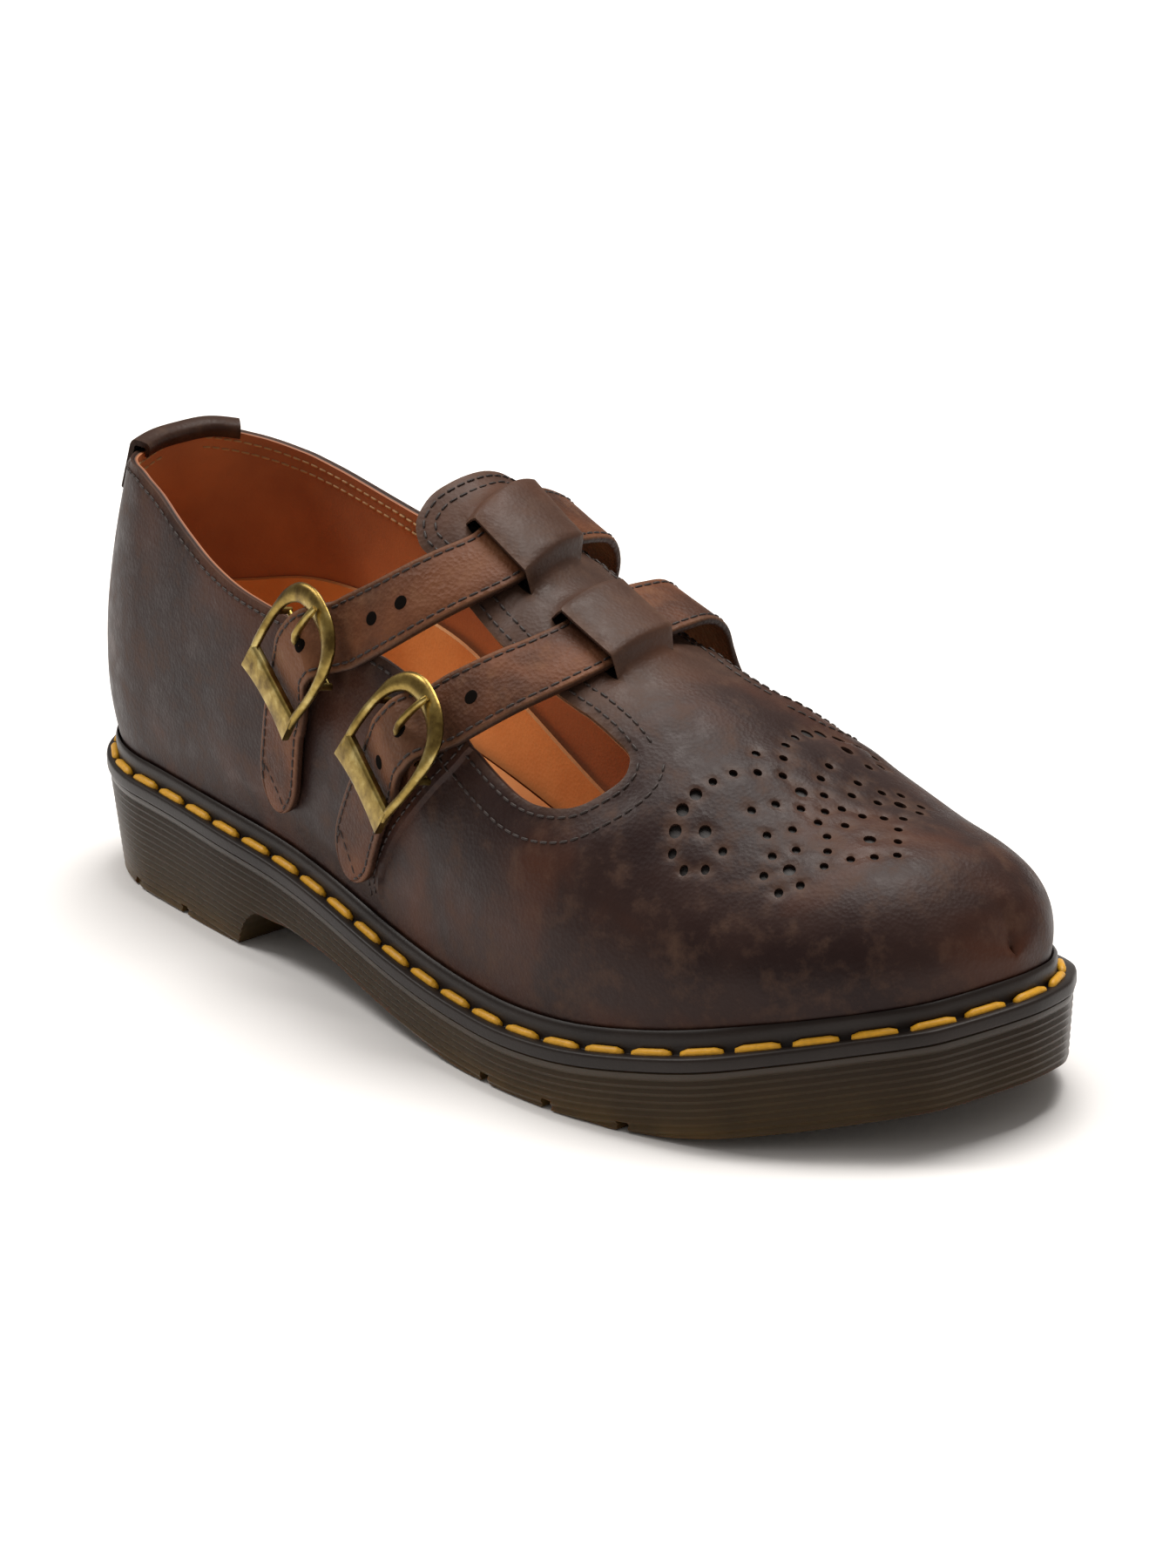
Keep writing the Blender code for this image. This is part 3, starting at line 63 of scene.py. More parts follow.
# A section of the last, as shares of the units: x, feather edge outer and inner, widest place
# outer, inner and height, crest y and height, then the welt's edge: x, outer and inner
UNITS = (LENGTH, BALL, BALL, BALL, BALL, INSTEP, BALL, INSTEP, LENGTH, BALL, BALL)
SECTIONS = [
    (0.0667, -0.2296, 0.2778, -0.2537, 0.3056, 0.4115, 0.0278, 1.2922, 0.0667, -0.2824, 0.3352),
    (0.1333, -0.2556, 0.2981, -0.2815, 0.3241, 0.4115, 0.0278, 1.284, 0.1333, -0.3093, 0.3481),
    (0.2, -0.2815, 0.3, -0.3093, 0.3241, 0.4115, 0.0185, 1.2675, 0.2, -0.3361, 0.3556),
    (0.2667, -0.3019, 0.2889, -0.3306, 0.3148, 0.4115, 0.0093, 1.2263, 0.2667, -0.363, 0.3509),
    (0.35, -0.3222, 0.2593, -0.3519, 0.2926, 0.4033, -0.0139, 1.144, 0.35, -0.3852, 0.3287),
    (0.46, -0.3731, 0.2407, -0.3963, 0.2824, 0.3786, -0.037, 1.0, 0.46, -0.4352, 0.3083),
    (0.5333, -0.4056, 0.2685, -0.4278, 0.3148, 0.3539, -0.0417, 0.893, 0.5367, -0.4704, 0.3361),
    (0.6, -0.4296, 0.3287, -0.4537, 0.3657, 0.3292, -0.0417, 0.8066, 0.6033, -0.4944, 0.3963),
    (0.6667, -0.4444, 0.3833, -0.4704, 0.4167, 0.3045, -0.0324, 0.7366, 0.67, -0.5111, 0.4481),
    (0.7333, -0.4407, 0.4194, -0.4667, 0.4463, 0.2963, -0.0139, 0.6683, 0.74, -0.5037, 0.4833),
    (0.7933, -0.412, 0.4306, -0.437, 0.4556, 0.2963, 0.0139, 0.5959, 0.8033, -0.4704, 0.4944),
    (0.8467, -0.3611, 0.4213, -0.3833, 0.4444, 0.3004, 0.0417, 0.5366, 0.8617, -0.4167, 0.4843),
    (0.8933, -0.2778, 0.3843, -0.3009, 0.412, 0.3045, 0.0741, 0.5086, 0.9117, -0.3102, 0.4444),
    (0.93, -0.1852, 0.3333, -0.2083, 0.3565, 0.3128, 0.1019, 0.484, 0.9483, -0.2157, 0.3917),
    (0.955, -0.1019, 0.2685, -0.1204, 0.2917, 0.3169, 0.1204, 0.4428, 0.9733, -0.1481, 0.3241),
    (0.9693, -0.0185, 0.2083, -0.0324, 0.2315, 0.321, 0.1296, 0.4016, 0.99, -0.0694, 0.2546),
    (0.9767, 0.1296, 0.1296, 0.1296, 0.1296, 0.3226, 0.1296, 0.3243, 1.0, 0.1296, 0.1296),
]
HEEL_REACH = [(0.214, 1.135), (0.2634, 1.165), (0.3292, 1.2), (0.4115, 1.215), (0.535, 1.18),
              (0.6584, 1.08), (0.8724, 0.87), (1.0288, 0.76), (1.3169, 0.66)]
HEEL_SQUARE = 2.22
HEEL_FLARE = 0.0036
TIP_PUSH = 2.4
HALF_RIB = 90
FEATHER_SHARE = 0.22
FEATHER_DROP = 2.9
BASE_DROP = 2.8
RAND_SINK = 0.3
FAN_ROWS = 30
ROW_STEPS = 18


def smooth(xs, ys, x):
    """Value at x of a smooth curve through rows."""
    xs = np.asarray(xs, float)
    ys = np.asarray(ys, float)
    rise = np.diff(ys) / np.diff(xs)
    run = np.diff(xs)
    slope = np.empty(len(xs))
    slope[1:-1] = (rise[:-1] * run[1:] + rise[1:] * run[:-1]) / (run[:-1] + run[1:])
    slope[0] = rise[0]
    slope[-1] = rise[-1]
    x = np.asarray(x, float)
    k = np.clip(np.searchsorted(xs, x) - 1, 0, len(xs) - 2)
    t = (x - xs[k]) / run[k]
    a = ys[k] * (1 + 2 * t) * (1 - t) ** 2 + run[k] * slope[k] * t * (1 - t) ** 2
    b = ys[k + 1] * t * t * (3 - 2 * t) + run[k] * slope[k + 1] * t * t * (t - 1)
    return a + b


def welt_top(x):
    return smooth([r[0] * LENGTH for r in WELT_LINE], [r[1] * HEEL_TOP for r in WELT_LINE], x)


def ease(t):
    t = np.clip(t, 0.0, 1.0)
    return t * t * (3 - 2 * t)


ROWS = np.array(SECTIONS, float) * np.array(UNITS)
HEEL_X = ROWS[1, 0]
TIP_Y = ROWS[-1, 6]
MID_X = LENGTH / 2


def past_tip(row):
    """A row mirrored past the tip, so the toe closes round."""
    out = row.copy()
    for c in (1, 2, 3, 4, 6, 9, 10):
        out[c] = 2 * TIP_Y - row[c]
    out[7] = 2 * ROWS[-1, 7] - row[7]
    return out


TABLE = np.vstack([ROWS, past_tip(ROWS[-2]), past_tip(ROWS[-3])])
LAST_ROW = len(ROWS) - 2


def section(v):
    """Section values at row position v."""
    k = np.arange(len(TABLE)) - 1.0
    return np.array([float(smooth(k, TABLE[:, c], v)) for c in range(TABLE.shape[1])])


def half_arch(values, side):
    """Half a section, feather edge to crest."""
    x, foot_l, foot_m, wide_l, wide_m, wide_z, crest_y, crest_z = values[:8]
    foot, wide = (foot_l, wide_l) if side < 0 else (foot_m, wide_m)
    q = np.linspace(0, 1, HALF_RIB + 1)
    low = np.clip(q / FEATHER_SHARE, 0, 1) * math.pi / 2
    high = np.clip((q - FEATHER_SHARE) / (1 - FEATHER_SHARE), 0, 1) * math.pi / 2
    foot_z = float(welt_top(x)) - FEATHER_DROP
    below = q < FEATHER_SHARE
    y = np.where(below, foot + (wide - foot) * np.sin(low), crest_y + (wide - crest_y) * np.cos(high))
    z = np.where(below, foot_z + (wide_z - foot_z) * low / (math.pi / 2),
                 wide_z + (crest_z - wide_z) * np.sin(high))
    push = TIP_PUSH * float(ease((x - 250.0) / 40.0))
    return np.column_stack([x + push * np.where(below, np.sin(low), np.cos(high)), y, z])


def run_of(points):
    """Length of the line up to each of its points."""
    return np.r_[0, np.cumsum(np.linalg.norm(np.diff(points, axis=0), axis=1))]


def even(points, count):
    """Points at equal steps along a line."""
    run = run_of(points)
    if run[-1] < 1e-9:
        return np.repeat(points[:1], count, axis=0)
    s = np.linspace(0, run[-1], count)
    return np.column_stack([np.interp(s, run, points[:, k]) for k in range(3)])


def rib(u, side):
    """One rib from feather edge up: u under 1 fans round the heel, above 1 counts rows."""
    if u >= 1:
        return half_arch(section(u - 1), side)
    values = section(0.0)
    points = half_arch(values, side)
    crest_y = values[6]
    half = np.abs(points[:, 1] - crest_y)
    mean = (np.abs(half_arch(values, -1)[:, 1] - crest_y)
            + np.abs(half_arch(values, 1)[:, 1] - crest_y)) / 2
    reach = np.array(HEEL_REACH, float)
    back = mean * smooth(reach[:, 0] * INSTEP, reach[:, 1], points[:, 2])
    power = 2 / HEEL_SQUARE
    turn = u * math.pi / 2
    x = HEEL_X - back * math.cos(turn) ** power
    y = crest_y + side * half * math.sin(turn) ** power * (1 - HEEL_FLARE * (HEEL_X - x))
    return np.column_stack([x, y, points[:, 2]])


def edge_point(u, side):
    """Welt edge in plan."""
    values = section(max(u - 1, 0.0))
    if u >= 1:
        return np.array([values[8], values[9] if side < 0 else values[10]])
    half = abs((values[9] if side < 0 else values[10]) - values[6])
    power = 2 / HEEL_SQUARE
    turn = u * math.pi / 2
    x = HEEL_X - HEEL_X * math.cos(turn) ** power
    return np.array([x, values[6] + side * half * math.sin(turn) ** power
                     * (1 - HEEL_FLARE * (HEEL_X - x))])


FAN_US = np.linspace(0, 1, 29)[:-1]
SIDE_US = 1 + np.r_[np.linspace(0, 9, 64)[:-1], np.linspace(9, LAST_ROW, 61)]
STATION_US = list(FAN_US) + list(SIDE_US)
STATIONS = [(u, -1) for u in STATION_US] + [(u, 1) for u in STATION_US[1:-1]][::-1]
HALF = len(STATION_US)
FACING = [0] + [len(STATIONS) - k for k in range(1, HALF - 1)] + [HALF - 1]
RIBS = [rib(u, side) for u, side in STATIONS]
EDGES = np.array([edge_point(u, side) for u, side in STATIONS])
EDGE_TOPS = welt_top(EDGES[:, 0])
MID_Y = (EDGES[:, 1].min() + EDGES[:, 1].max()) / 2


def rib_at(k, height):
    """Plan point of the last at station k, a height above the welt top."""
    line = RIBS[k]
    low = line[:int(HALF_RIB * 0.6)]
    z = float(welt_top(line[0, 0])) + height
    return np.array([np.interp(z, low[:, 2], low[:, 0]), np.interp(z, low[:, 2], low[:, 1])])


BASES = np.array([rib_at(k, -BASE_DROP) for k in range(len(STATIONS))])
INWARD = (BASES - EDGES) / np.linalg.norm(BASES - EDGES, axis=1, keepdims=True)


def leather_mesh(name, points, faces, look):
    """A mesh object from millimetre points in the shoe's frame."""
    points = np.asarray(points, float).copy()
    points[:, 0] -= MID_X
    points[:, 1] -= MID_Y
    mesh = bpy.data.meshes.new(name)
    mesh.from_pydata([tuple(p) for p in points * 0.001], [], [tuple(int(i) for i in f) for f in faces])
    bm = bmesh.new()
    bm.from_mesh(mesh)
    bmesh.ops.recalc_face_normals(bm, faces=bm.faces)
    for face in bm.faces:
        face.smooth = True
    bm.to_mesh(mesh)
    bm.free()
    mesh.materials.append(look)
    ob = bpy.data.objects.new(name, mesh)
    bpy.context.scene.collection.objects.link(ob)
    return ob


def on_shoe(ob, angle=None):
    """Rides the piece on the shoe and keeps edges sharper than the angle crisp."""
    if angle:
        ob.data.set_sharp_from_angle(angle=math.radians(angle))
    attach(ob, "root")
    return ob


def linear(code):
    """Linear colour from an sRGB hex value."""
    parts = [int(code[k:k + 2], 16) / 255 for k in (0, 2, 4)]
    return tuple(c / 12.92 if c <= 0.04045 else ((c + 0.055) / 1.055) ** 2.4 for c in parts) + (1.0,)


def add(tree, kind, inputs=None, ramp=None, **settings):
    """A node with its settings; inputs holds values or other nodes' sockets, ramp holds stops."""
    node = tree.nodes.new(kind)
    for key, value in settings.items():
        setattr(node, key, value)
    for key, value in (inputs or {}).items():
        if isinstance(value, bpy.types.NodeSocket):
            tree.links.new(value, node.inputs[key])
        else:
            node.inputs[key].default_value = value
    if ramp:
        while len(node.color_ramp.elements) < len(ramp):
            node.color_ramp.elements.new(0.5)
        for stop, (at, colour) in zip(node.color_ramp.elements, ramp):
            stop.position = at
            stop.color = linear(colour)
    return node


def blank(name):
    """An empty material's tree and its output node."""
    mat = bpy.data.materials.new(name)
    mat.use_nodes = True
    mat.node_tree.nodes.clear()
    return mat, mat.node_tree, add(mat.node_tree, "ShaderNodeOutputMaterial")


def moulded_rubber():
    """Clear brown rubber, moulded: dark at the top, amber where light comes through low down."""
    mat, tree, out = blank("moulded_rubber")
    place = add(tree, "ShaderNodeTexCoord").outputs["Object"]
    height = add(tree, "ShaderNodeSeparateXYZ", {"Vector": place}).outputs["Z"]
    share = add(tree, "ShaderNodeMapRange", {"Value": height, "From Min": 0.0,
                                             "From Max": 0.026}).outputs["Result"]
    tint = add(tree, "ShaderNodeValToRGB", {"Fac": share},
               ramp=[(0.0, "6A5126"), (0.22, "4C3B22"), (0.7, "362B20"), (1.0, "2A221C")])
    cloud = add(tree, "ShaderNodeTexNoise", {"Vector": place, "Scale": 60.0, "Detail": 3.0}).outputs["Fac"]
    mix = add(tree, "ShaderNodeMix", {"Factor": cloud, "A": tint.outputs["Color"], "B": linear("2E2418")},
              data_type="RGBA")
    shader = add(tree, "ShaderNodeBsdfPrincipled", {"Roughness": 0.38, "Specular IOR Level": 0.3,
                                                    "Subsurface Weight": 0.12, "Subsurface Scale": 0.004})
    fine = add(tree, "ShaderNodeTexNoise", {"Vector": place, "Scale": 900.0, "Detail": 2.0}).outputs["Fac"]
    bump = add(tree, "ShaderNodeBump", {"Height": fine, "Strength": 0.12, "Distance": 0.0004})
    tree.links.new(mix.outputs["Result"], shader.inputs["Base Color"])
    tree.links.new(bump.outputs["Normal"], shader.inputs["Normal"])
    tree.links.new(shader.outputs["BSDF"], out.inputs["Surface"])
    return mat


SOLE_DROP = 3.45
RIB_START = 1.3
RIB_PITCH = 1.85
RIB_DEEP = 0.5
BREAST_X = 80.6
TREAD_DEEP = 2.2
RUBBER = moulded_rubber()


def bridge(rings, closed=True, loop=False):
    """Quads between rings of equal count."""
    count = len(rings[0])
    total = len(rings)
    faces = []
    for i in range(total if loop else total - 1):
        j = (i + 1) % total
        for k in range(count if closed else count - 1):
            m = (k + 1) % count
            faces.append((i * count + k, i * count + m, j * count + m, j * count + k))
    return faces


def tube(name, rings, look):
    """A piece skinned over rings of points and closed at both ends."""
    n = len(rings[0])
    last = (len(rings) - 1) * n
    caps = [tuple(range(n))[::-1], tuple(range(last, last + n))]
    return leather_mesh(name, [p for ring in rings for p in ring], bridge(rings) + caps, look)


def across(offset, flip=False):
    """Faces that join outer and inner stations of one ring."""
    faces = []
    for k in range(HALF - 1):
        face = [i + offset for i in dict.fromkeys([k, k + 1, FACING[k + 1], FACING[k]])]
        faces.append(tuple(face[::-1] if flip else face))
    return faces


def carve(ob, tools):
    """Cuts the tools from the piece and keeps the result as plain mesh."""
    for tool in tools:
        mod = ob.modifiers.new(tool.name, "BOOLEAN")
        mod.operation = "DIFFERENCE"
        mod.solver = "EXACT"
        mod.object = tool
    done = bpy.data.meshes.new_from_object(ob.evaluated_get(bpy.context.evaluated_depsgraph_get()))
    ob.modifiers.clear()
    ob.data = done
    for tool in tools:
        bpy.data.objects.remove(tool, do_unlink=True)


def outsole():
    steps = [(0.0, 0.35), (0.25, 0.05), (0.6, 0.0), (RIB_START, 0.0)]
    depth = RIB_START
    while depth < 27.5:
        for k in range(1, 5):
            steps.append((depth + RIB_PITCH * k / 4, RIB_DEEP * (1 - math.cos(math.pi * k / 2)) / 2))
        depth += RIB_PITCH
    steps.append((36.0, 0.0))
    rings = []
    for depth, groove in steps:
        plan = EDGES + INWARD * (0.5 + 0.09 * depth + groove)
        rings.append(np.column_stack([plan, EDGE_TOPS - SOLE_DROP - depth]))
    body = leather_mesh("outsole_rubber", np.vstack(rings), bridge(rings) + across(0, True)
                        + across((len(rings) - 1) * len(STATIONS)), RUBBER)
    line = [(BREAST_X, 0.0), (BREAST_X + 1.0, 1.8), (BREAST_X + 2.0, 3.5), (BREAST_X + 3.6, 5.9),
            (BREAST_X + 5.5, 7.8), (BREAST_X + 7.5, 9.3), (BREAST_X + 9.5, 10.4)]
    xs = [r[0] * LENGTH for r in FLOOR_LINE]
    zs = [r[1] * HEEL_TOP for r in FLOOR_LINE]
    for x in list(np.arange(95.4, 187, 4.0)) + list(np.arange(232.5, 312, 4.0)):
        line.append((float(x), max(float(smooth(xs, zs, x)), 0.0)))
    line = [(-20.0, 0.0)] + line + [(315.0, 9.5), (315.0, -40.0), (-20.0, -40.0)]
    n = len(line)
    prism = [(x, -90, z) for x, z in line] + [(x, 90, z) for x, z in line]
    sides = [tuple(range(n)), tuple(range(2 * n - 1, n - 1, -1))]
    sides += [(k, (k + 1) % n, n + (k + 1) % n, n + k) for k in range(n)]
    tools = [leather_mesh("cut_under", prism, sides, RUBBER)]
    boxes = []
    for x, side in ((12, -1), (30, -1), (55, -1), (12, 1), (30, 1), (55, 1)):
        y = -36.0 if side < 0 else 39.0
        boxes.append((x, y * (0.62 if x == 12 else 0.93), 3.0, 12.0, 38 * side if x == 12 else 8 * side))
    for x in (192, 214, 236):
        boxes.append((x, -50.0 if x < 230 else -47.0, 3.0, 12.0, 0))
        boxes.append((x, 46.0 if x < 200 else 50.5, 3.0, 12.0, 0))
    channels = [(44.0, 2.0, 3.0, 46.0, 0), (26.0, 2.5, 3.0, 40.0, 0), (62.0, 1.5, 3.0, 52.0, 0)]
    channels += [(x, -2.0, 3.2, 72.0, 0) for x in (182, 198, 214, 230)]
    for name, rows in (("cut_notches", boxes), ("cut_channels", channels)):
        bm = bmesh.new()
        for x, y, long, wide, turn in rows:
            made = bmesh.ops.create_cube(bm, size=1.0)["verts"]
            at = Vector((x - MID_X, y - MID_Y, (TREAD_DEEP - 1.0) / 2)) * 0.001
            size = Matrix.Diagonal((long * 0.001, wide * 0.001, (TREAD_DEEP + 1.0) * 0.001, 1))
            bmesh.ops.transform(bm, matrix=Matrix.Translation(at)
                                @ Matrix.Rotation(math.radians(turn), 4, "Z") @ size, verts=made)
        mesh = bpy.data.meshes.new(name)
        bm.to_mesh(mesh)
        bm.free()
        tool = bpy.data.objects.new(name, mesh)
        bpy.context.scene.collection.objects.link(tool)
        tools.append(tool)
    carve(body, tools)
    on_shoe(body, 40)
    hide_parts("outsole")


outsole()

# Welt. A strip of dark grey rubber sewn round the sole's top: a flat shelf with a stitch groove,
# and a rounded rand that rises against the upper. It is moulded, so its skin is even and low in gloss.


def welt_rubber():
    """Moulded dark grey brown rubber, matt, in faint clouds."""
    mat, tree, out = blank("welt_rubber")
    place = add(tree, "ShaderNodeTexCoord").outputs["Object"]
    cloud = add(tree, "ShaderNodeTexNoise", {"Vector": place, "Scale": 45.0, "Detail": 5.0}).outputs["Fac"]
    tint = add(tree, "ShaderNodeValToRGB", {"Fac": cloud}, ramp=[(0.3, "1B1512"), (0.7, "28201C")])
    fine = add(tree, "ShaderNodeTexNoise", {"Vector": place, "Scale": 1400.0, "Detail": 2.0}).outputs["Fac"]
    bump = add(tree, "ShaderNodeBump", {"Height": fine, "Strength": 0.15, "Distance": 0.0003})
    shader = add(tree, "ShaderNodeBsdfPrincipled", {"Base Color": tint.outputs["Color"], "Roughness": 0.42,
                                                    "Specular IOR Level": 0.22,
                                                    "Normal": bump.outputs["Normal"]})
    tree.links.new(shader.outputs["BSDF"], out.inputs["Surface"])
    return mat


WELT_SHAPE = [(0.07, -3.2), (0.015, -3.05), (0.0, -2.6), (0.0, -0.8), (0.02, -0.3), (0.08, 0.0),
              (0.28, 0.06), (0.44, 0.0), (0.5, -0.4), (0.56, -0.5), (0.61, -0.3), (0.64, 0.4), (0.655, 1.5),
              (0.675, 2.8), (0.72, 3.9), (0.8, 4.55), (0.9, 4.85)]


def welt():
    rings = []
    for k in range(len(STATIONS)):
        ring = []
        for share, rise in WELT_SHAPE + [(1.0, 4.4), (1.0, -3.2)]:
            inner = rib_at(k, max(rise, -BASE_DROP)) - RAND_SINK * INWARD[k]
            ring.append((*(EDGES[k] + share * (inner - EDGES[k])), EDGE_TOPS[k] + rise))
        rings.append(ring)
    points = [p for ring in rings for p in ring]
    body = leather_mesh("welt_strip", points, bridge(rings, loop=True), welt_rubber())
    on_shoe(body, 55)
    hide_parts("welt")


welt()

# Welt stitches. Thick waxed yellow thread in even long stitches that lie in the shelf's groove,
# each a rounded bar whose ends go down into the rubber.


def thread(name, colour, rough=0.6):
    """Waxed twisted thread: light and dark in turn, with small bumps for its strands."""
    mat, tree, out = blank(name)
    place = add(tree, "ShaderNodeTexCoord").outputs["Object"]
    cloud = add(tree, "ShaderNodeTexNoise", {"Vector": place, "Scale": 700.0, "Detail": 2.0}).outputs["Fac"]
    dark = tuple(c * 0.62 for c in linear(colour)[:3]) + (1.0,)
    mix = add(tree, "ShaderNodeMix", {"Factor": cloud, "A": dark, "B": linear(colour)}, data_type="RGBA")
    bump = add(tree, "ShaderNodeBump", {"Height": cloud, "Strength": 0.5, "Distance": 0.0004})
    shader = add(tree, "ShaderNodeBsdfPrincipled", {"Base Color": mix.outputs["Result"], "Roughness": rough,
                                                    "Normal": bump.outputs["Normal"]})
    tree.links.new(shader.outputs["BSDF"], out.inputs["Surface"])
    return mat


def stitch_bars(name, rows, length, radius, look, sides=6):
    """One mesh of rounded bars; rows hold centre, direction and outward vectors."""
    ends = [(-0.5, 0.25, -1.0), (-0.47, 0.75, -0.25), (-0.3, 1.0, 0.0), (0.3, 1.0, 0.0),
            (0.47, 0.75, -0.25), (0.5, 0.25, -1.0)]
    points = []
    faces = []
    for centre, along, out in rows:
        side = np.cross(out, along)
        base = len(points)
        for s, wide, sink in ends:
            for k in range(sides):
                t = 2 * math.pi * k / sides
                points.append(centre + along * s * length + out * (radius * (wide * math.cos(t) + sink))
                              + side * (radius * wide * math.sin(t)))
        rings = [list(range(base + i * sides, base + (i + 1) * sides)) for i in range(len(ends))]
        for a, b in zip(rings, rings[1:]):
            faces += [(a[k], a[(k + 1) % sides], b[(k + 1) % sides], b[k]) for k in range(sides)]
        faces += [tuple(rings[0][::-1]), tuple(rings[-1])]
    return on_shoe(leather_mesh(name, points, faces, look))


def spaced(line, pitch, start=0.0):
    """Centres and directions at even steps along a line of points."""
    run = run_of(line)
    s = np.arange(start, run[-1], pitch)
    at = np.column_stack([np.interp(s, run, line[:, k]) for k in range(3)])
    ahead = np.column_stack([np.interp(s + 0.6, run, line[:, k]) for k in range(3)])
    behind = np.column_stack([np.interp(s - 0.6, run, line[:, k]) for k in range(3)])
    along = ahead - behind
    return at, along / np.linalg.norm(along, axis=1, keepdims=True)


WELT_PITCH = 12.9
WELT_STITCH = 10.6
WELT_THREAD = 1.05
WELT_STITCH_RISE = 0.25
GROOVE_SHARE = 0.5


def welt_stitches():
    order = list(range(len(STATIONS))) + [0]
    line = []
    for k in order:
        inner = rib_at(k, 0.0) - RAND_SINK * INWARD[k]
        spot = EDGES[k] + GROOVE_SHARE * (inner - EDGES[k])
        line.append((*spot, EDGE_TOPS[k] + WELT_STITCH_RISE))
    at, along = spaced(np.array(line), WELT_PITCH, 4.0)
    rows = [(p, t, np.cross(np.cross(t, (0, 0, 1.0)), t)) for p, t in zip(at, along)]
    rows = [(p, t, o / np.linalg.norm(o)) for p, t, o in rows]
    stitch_bars("welt_stitches", rows, WELT_STITCH, WELT_THREAD,
                thread("waxed_yellow_thread", "F0B020", 0.5), 10)


welt_stitches()

# Footbed. A tan leather sock glued over the insole board, its grain side up: smooth, even, with a
# soft sheen. Round the heel it runs up the walls as a deep cup, highest at the back.


def footbed_leather():
    """Vegetable tanned tan leather, smooth, darker in soft clouds."""
    mat, tree, out = blank("footbed_leather")
    place = add(tree, "ShaderNodeTexCoord").outputs["Object"]
    cloud = add(tree, "ShaderNodeTexNoise", {"Vector": place, "Scale": 30.0, "Detail": 4.0}).outputs["Fac"]
    tint = add(tree, "ShaderNodeValToRGB", {"Fac": cloud}, ramp=[(0.3, "C27C42"), (0.7, "E6A868")])
    grain = add(tree, "ShaderNodeTexVoronoi", {"Vector": place, "Scale": 1100.0}).outputs["Distance"]
    bump = add(tree, "ShaderNodeBump", {"Height": grain, "Strength": 0.15, "Distance": 0.0003})
    shader = add(tree, "ShaderNodeBsdfPrincipled", {"Base Color": tint.outputs["Color"], "Roughness": 0.62,
                                                    "Normal": bump.outputs["Normal"]})
    tree.links.new(shader.outputs["BSDF"], out.inputs["Surface"])
    return mat


HEEL_PAD = 8.0
PAD_END = 190.0
PAD_RUN = 110.0
SOCK_GAP = 2.8
SOCK_TOP = 2.4
SOCK_THICK = 4.5
CUP_END = 170.0
CUP_FOOT = 1.4
CUP_BACK = 2.45
CUP_FACE = 3.3
CUP_ROWS = 8
SOCK_RIM = [(-5, 62.5), (12, 63.5), (26, 65.2), (45, 65.2), (76, 63.6), (92, 60.4), (110, 53.0),
            (130, 43.0), (150, 33.0), (172, 24.0)]


def pad_at(x):
    """How far the pad lifts the footbed at x."""
    return HEEL_PAD * float(ease((PAD_END - x) / PAD_RUN))


def footbed():
    rim = BASES + INWARD * SOCK_GAP
    steps = np.linspace(0, 1, 25)
    rows = []
    for k in range(HALF):
        row = []
        for t in steps:
            spot = rim[k] + (rim[FACING[k]] - rim[k]) * t
            row.append((*spot, float(welt_top(spot[0])) + SOCK_TOP + pad_at(spot[0])))
        rows.append(row)
    top = [p for row in rows for p in row]
    sheet = bridge(rows, closed=False)
    base = len(top)
    low = [(p[0], p[1], p[2] - SOCK_THICK) for p in top]
    faces = sheet + [tuple(i + base for i in f[::-1]) for f in sheet]
    n = len(steps)
    for k in range(HALF - 1):
        faces.append((k * n, (k + 1) * n, base + (k + 1) * n, base + k * n))
        faces.append((k * n + n - 1, base + k * n + n - 1, base + (k + 1) * n + n - 1, (k + 1) * n + n - 1))
    body = leather_mesh("footbed_sock", top + low, faces, footbed_leather())
    bm = bmesh.new()
    bm.from_mesh(body.data)
    bmesh.ops.remove_doubles(bm, verts=bm.verts, dist=0.00002)
    bmesh.ops.dissolve_degenerate(bm, dist=0.00002, edges=bm.edges)
    bmesh.ops.recalc_face_normals(bm, faces=bm.faces)
    bm.to_mesh(body.data)
    bm.free()
    on_shoe(body, 50)
    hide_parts("insole")
    order = [k for k in range(len(STATIONS)) if EDGES[k, 0] < CUP_END]
    order = [k for k in order if STATIONS[k][1] < 0][::-1] + [k for k in order if STATIONS[k][1] > 0][::-1]
    rings = []
    for k in order:
        x = EDGES[k, 0]
        low = EDGE_TOPS[k] + CUP_FOOT + pad_at(x)
        high = max(float(smooth([r[0] for r in SOCK_RIM], [r[1] for r in SOCK_RIM], x)), low + 0.8)
        ring = []
        for away, rows in ((CUP_BACK, np.linspace(low, high, CUP_ROWS)),
                           (CUP_FACE, np.linspace(high - 0.3, low, CUP_ROWS))):
            for z in rows:
                ring.append((*(rib_at(k, z - EDGE_TOPS[k]) + INWARD[k] * away), z))
        rings.append(ring)
    cup = tube("footbed_heel_cup", rings, bpy.data.materials["footbed_leather"])
    on_shoe(cup, 50)


footbed()

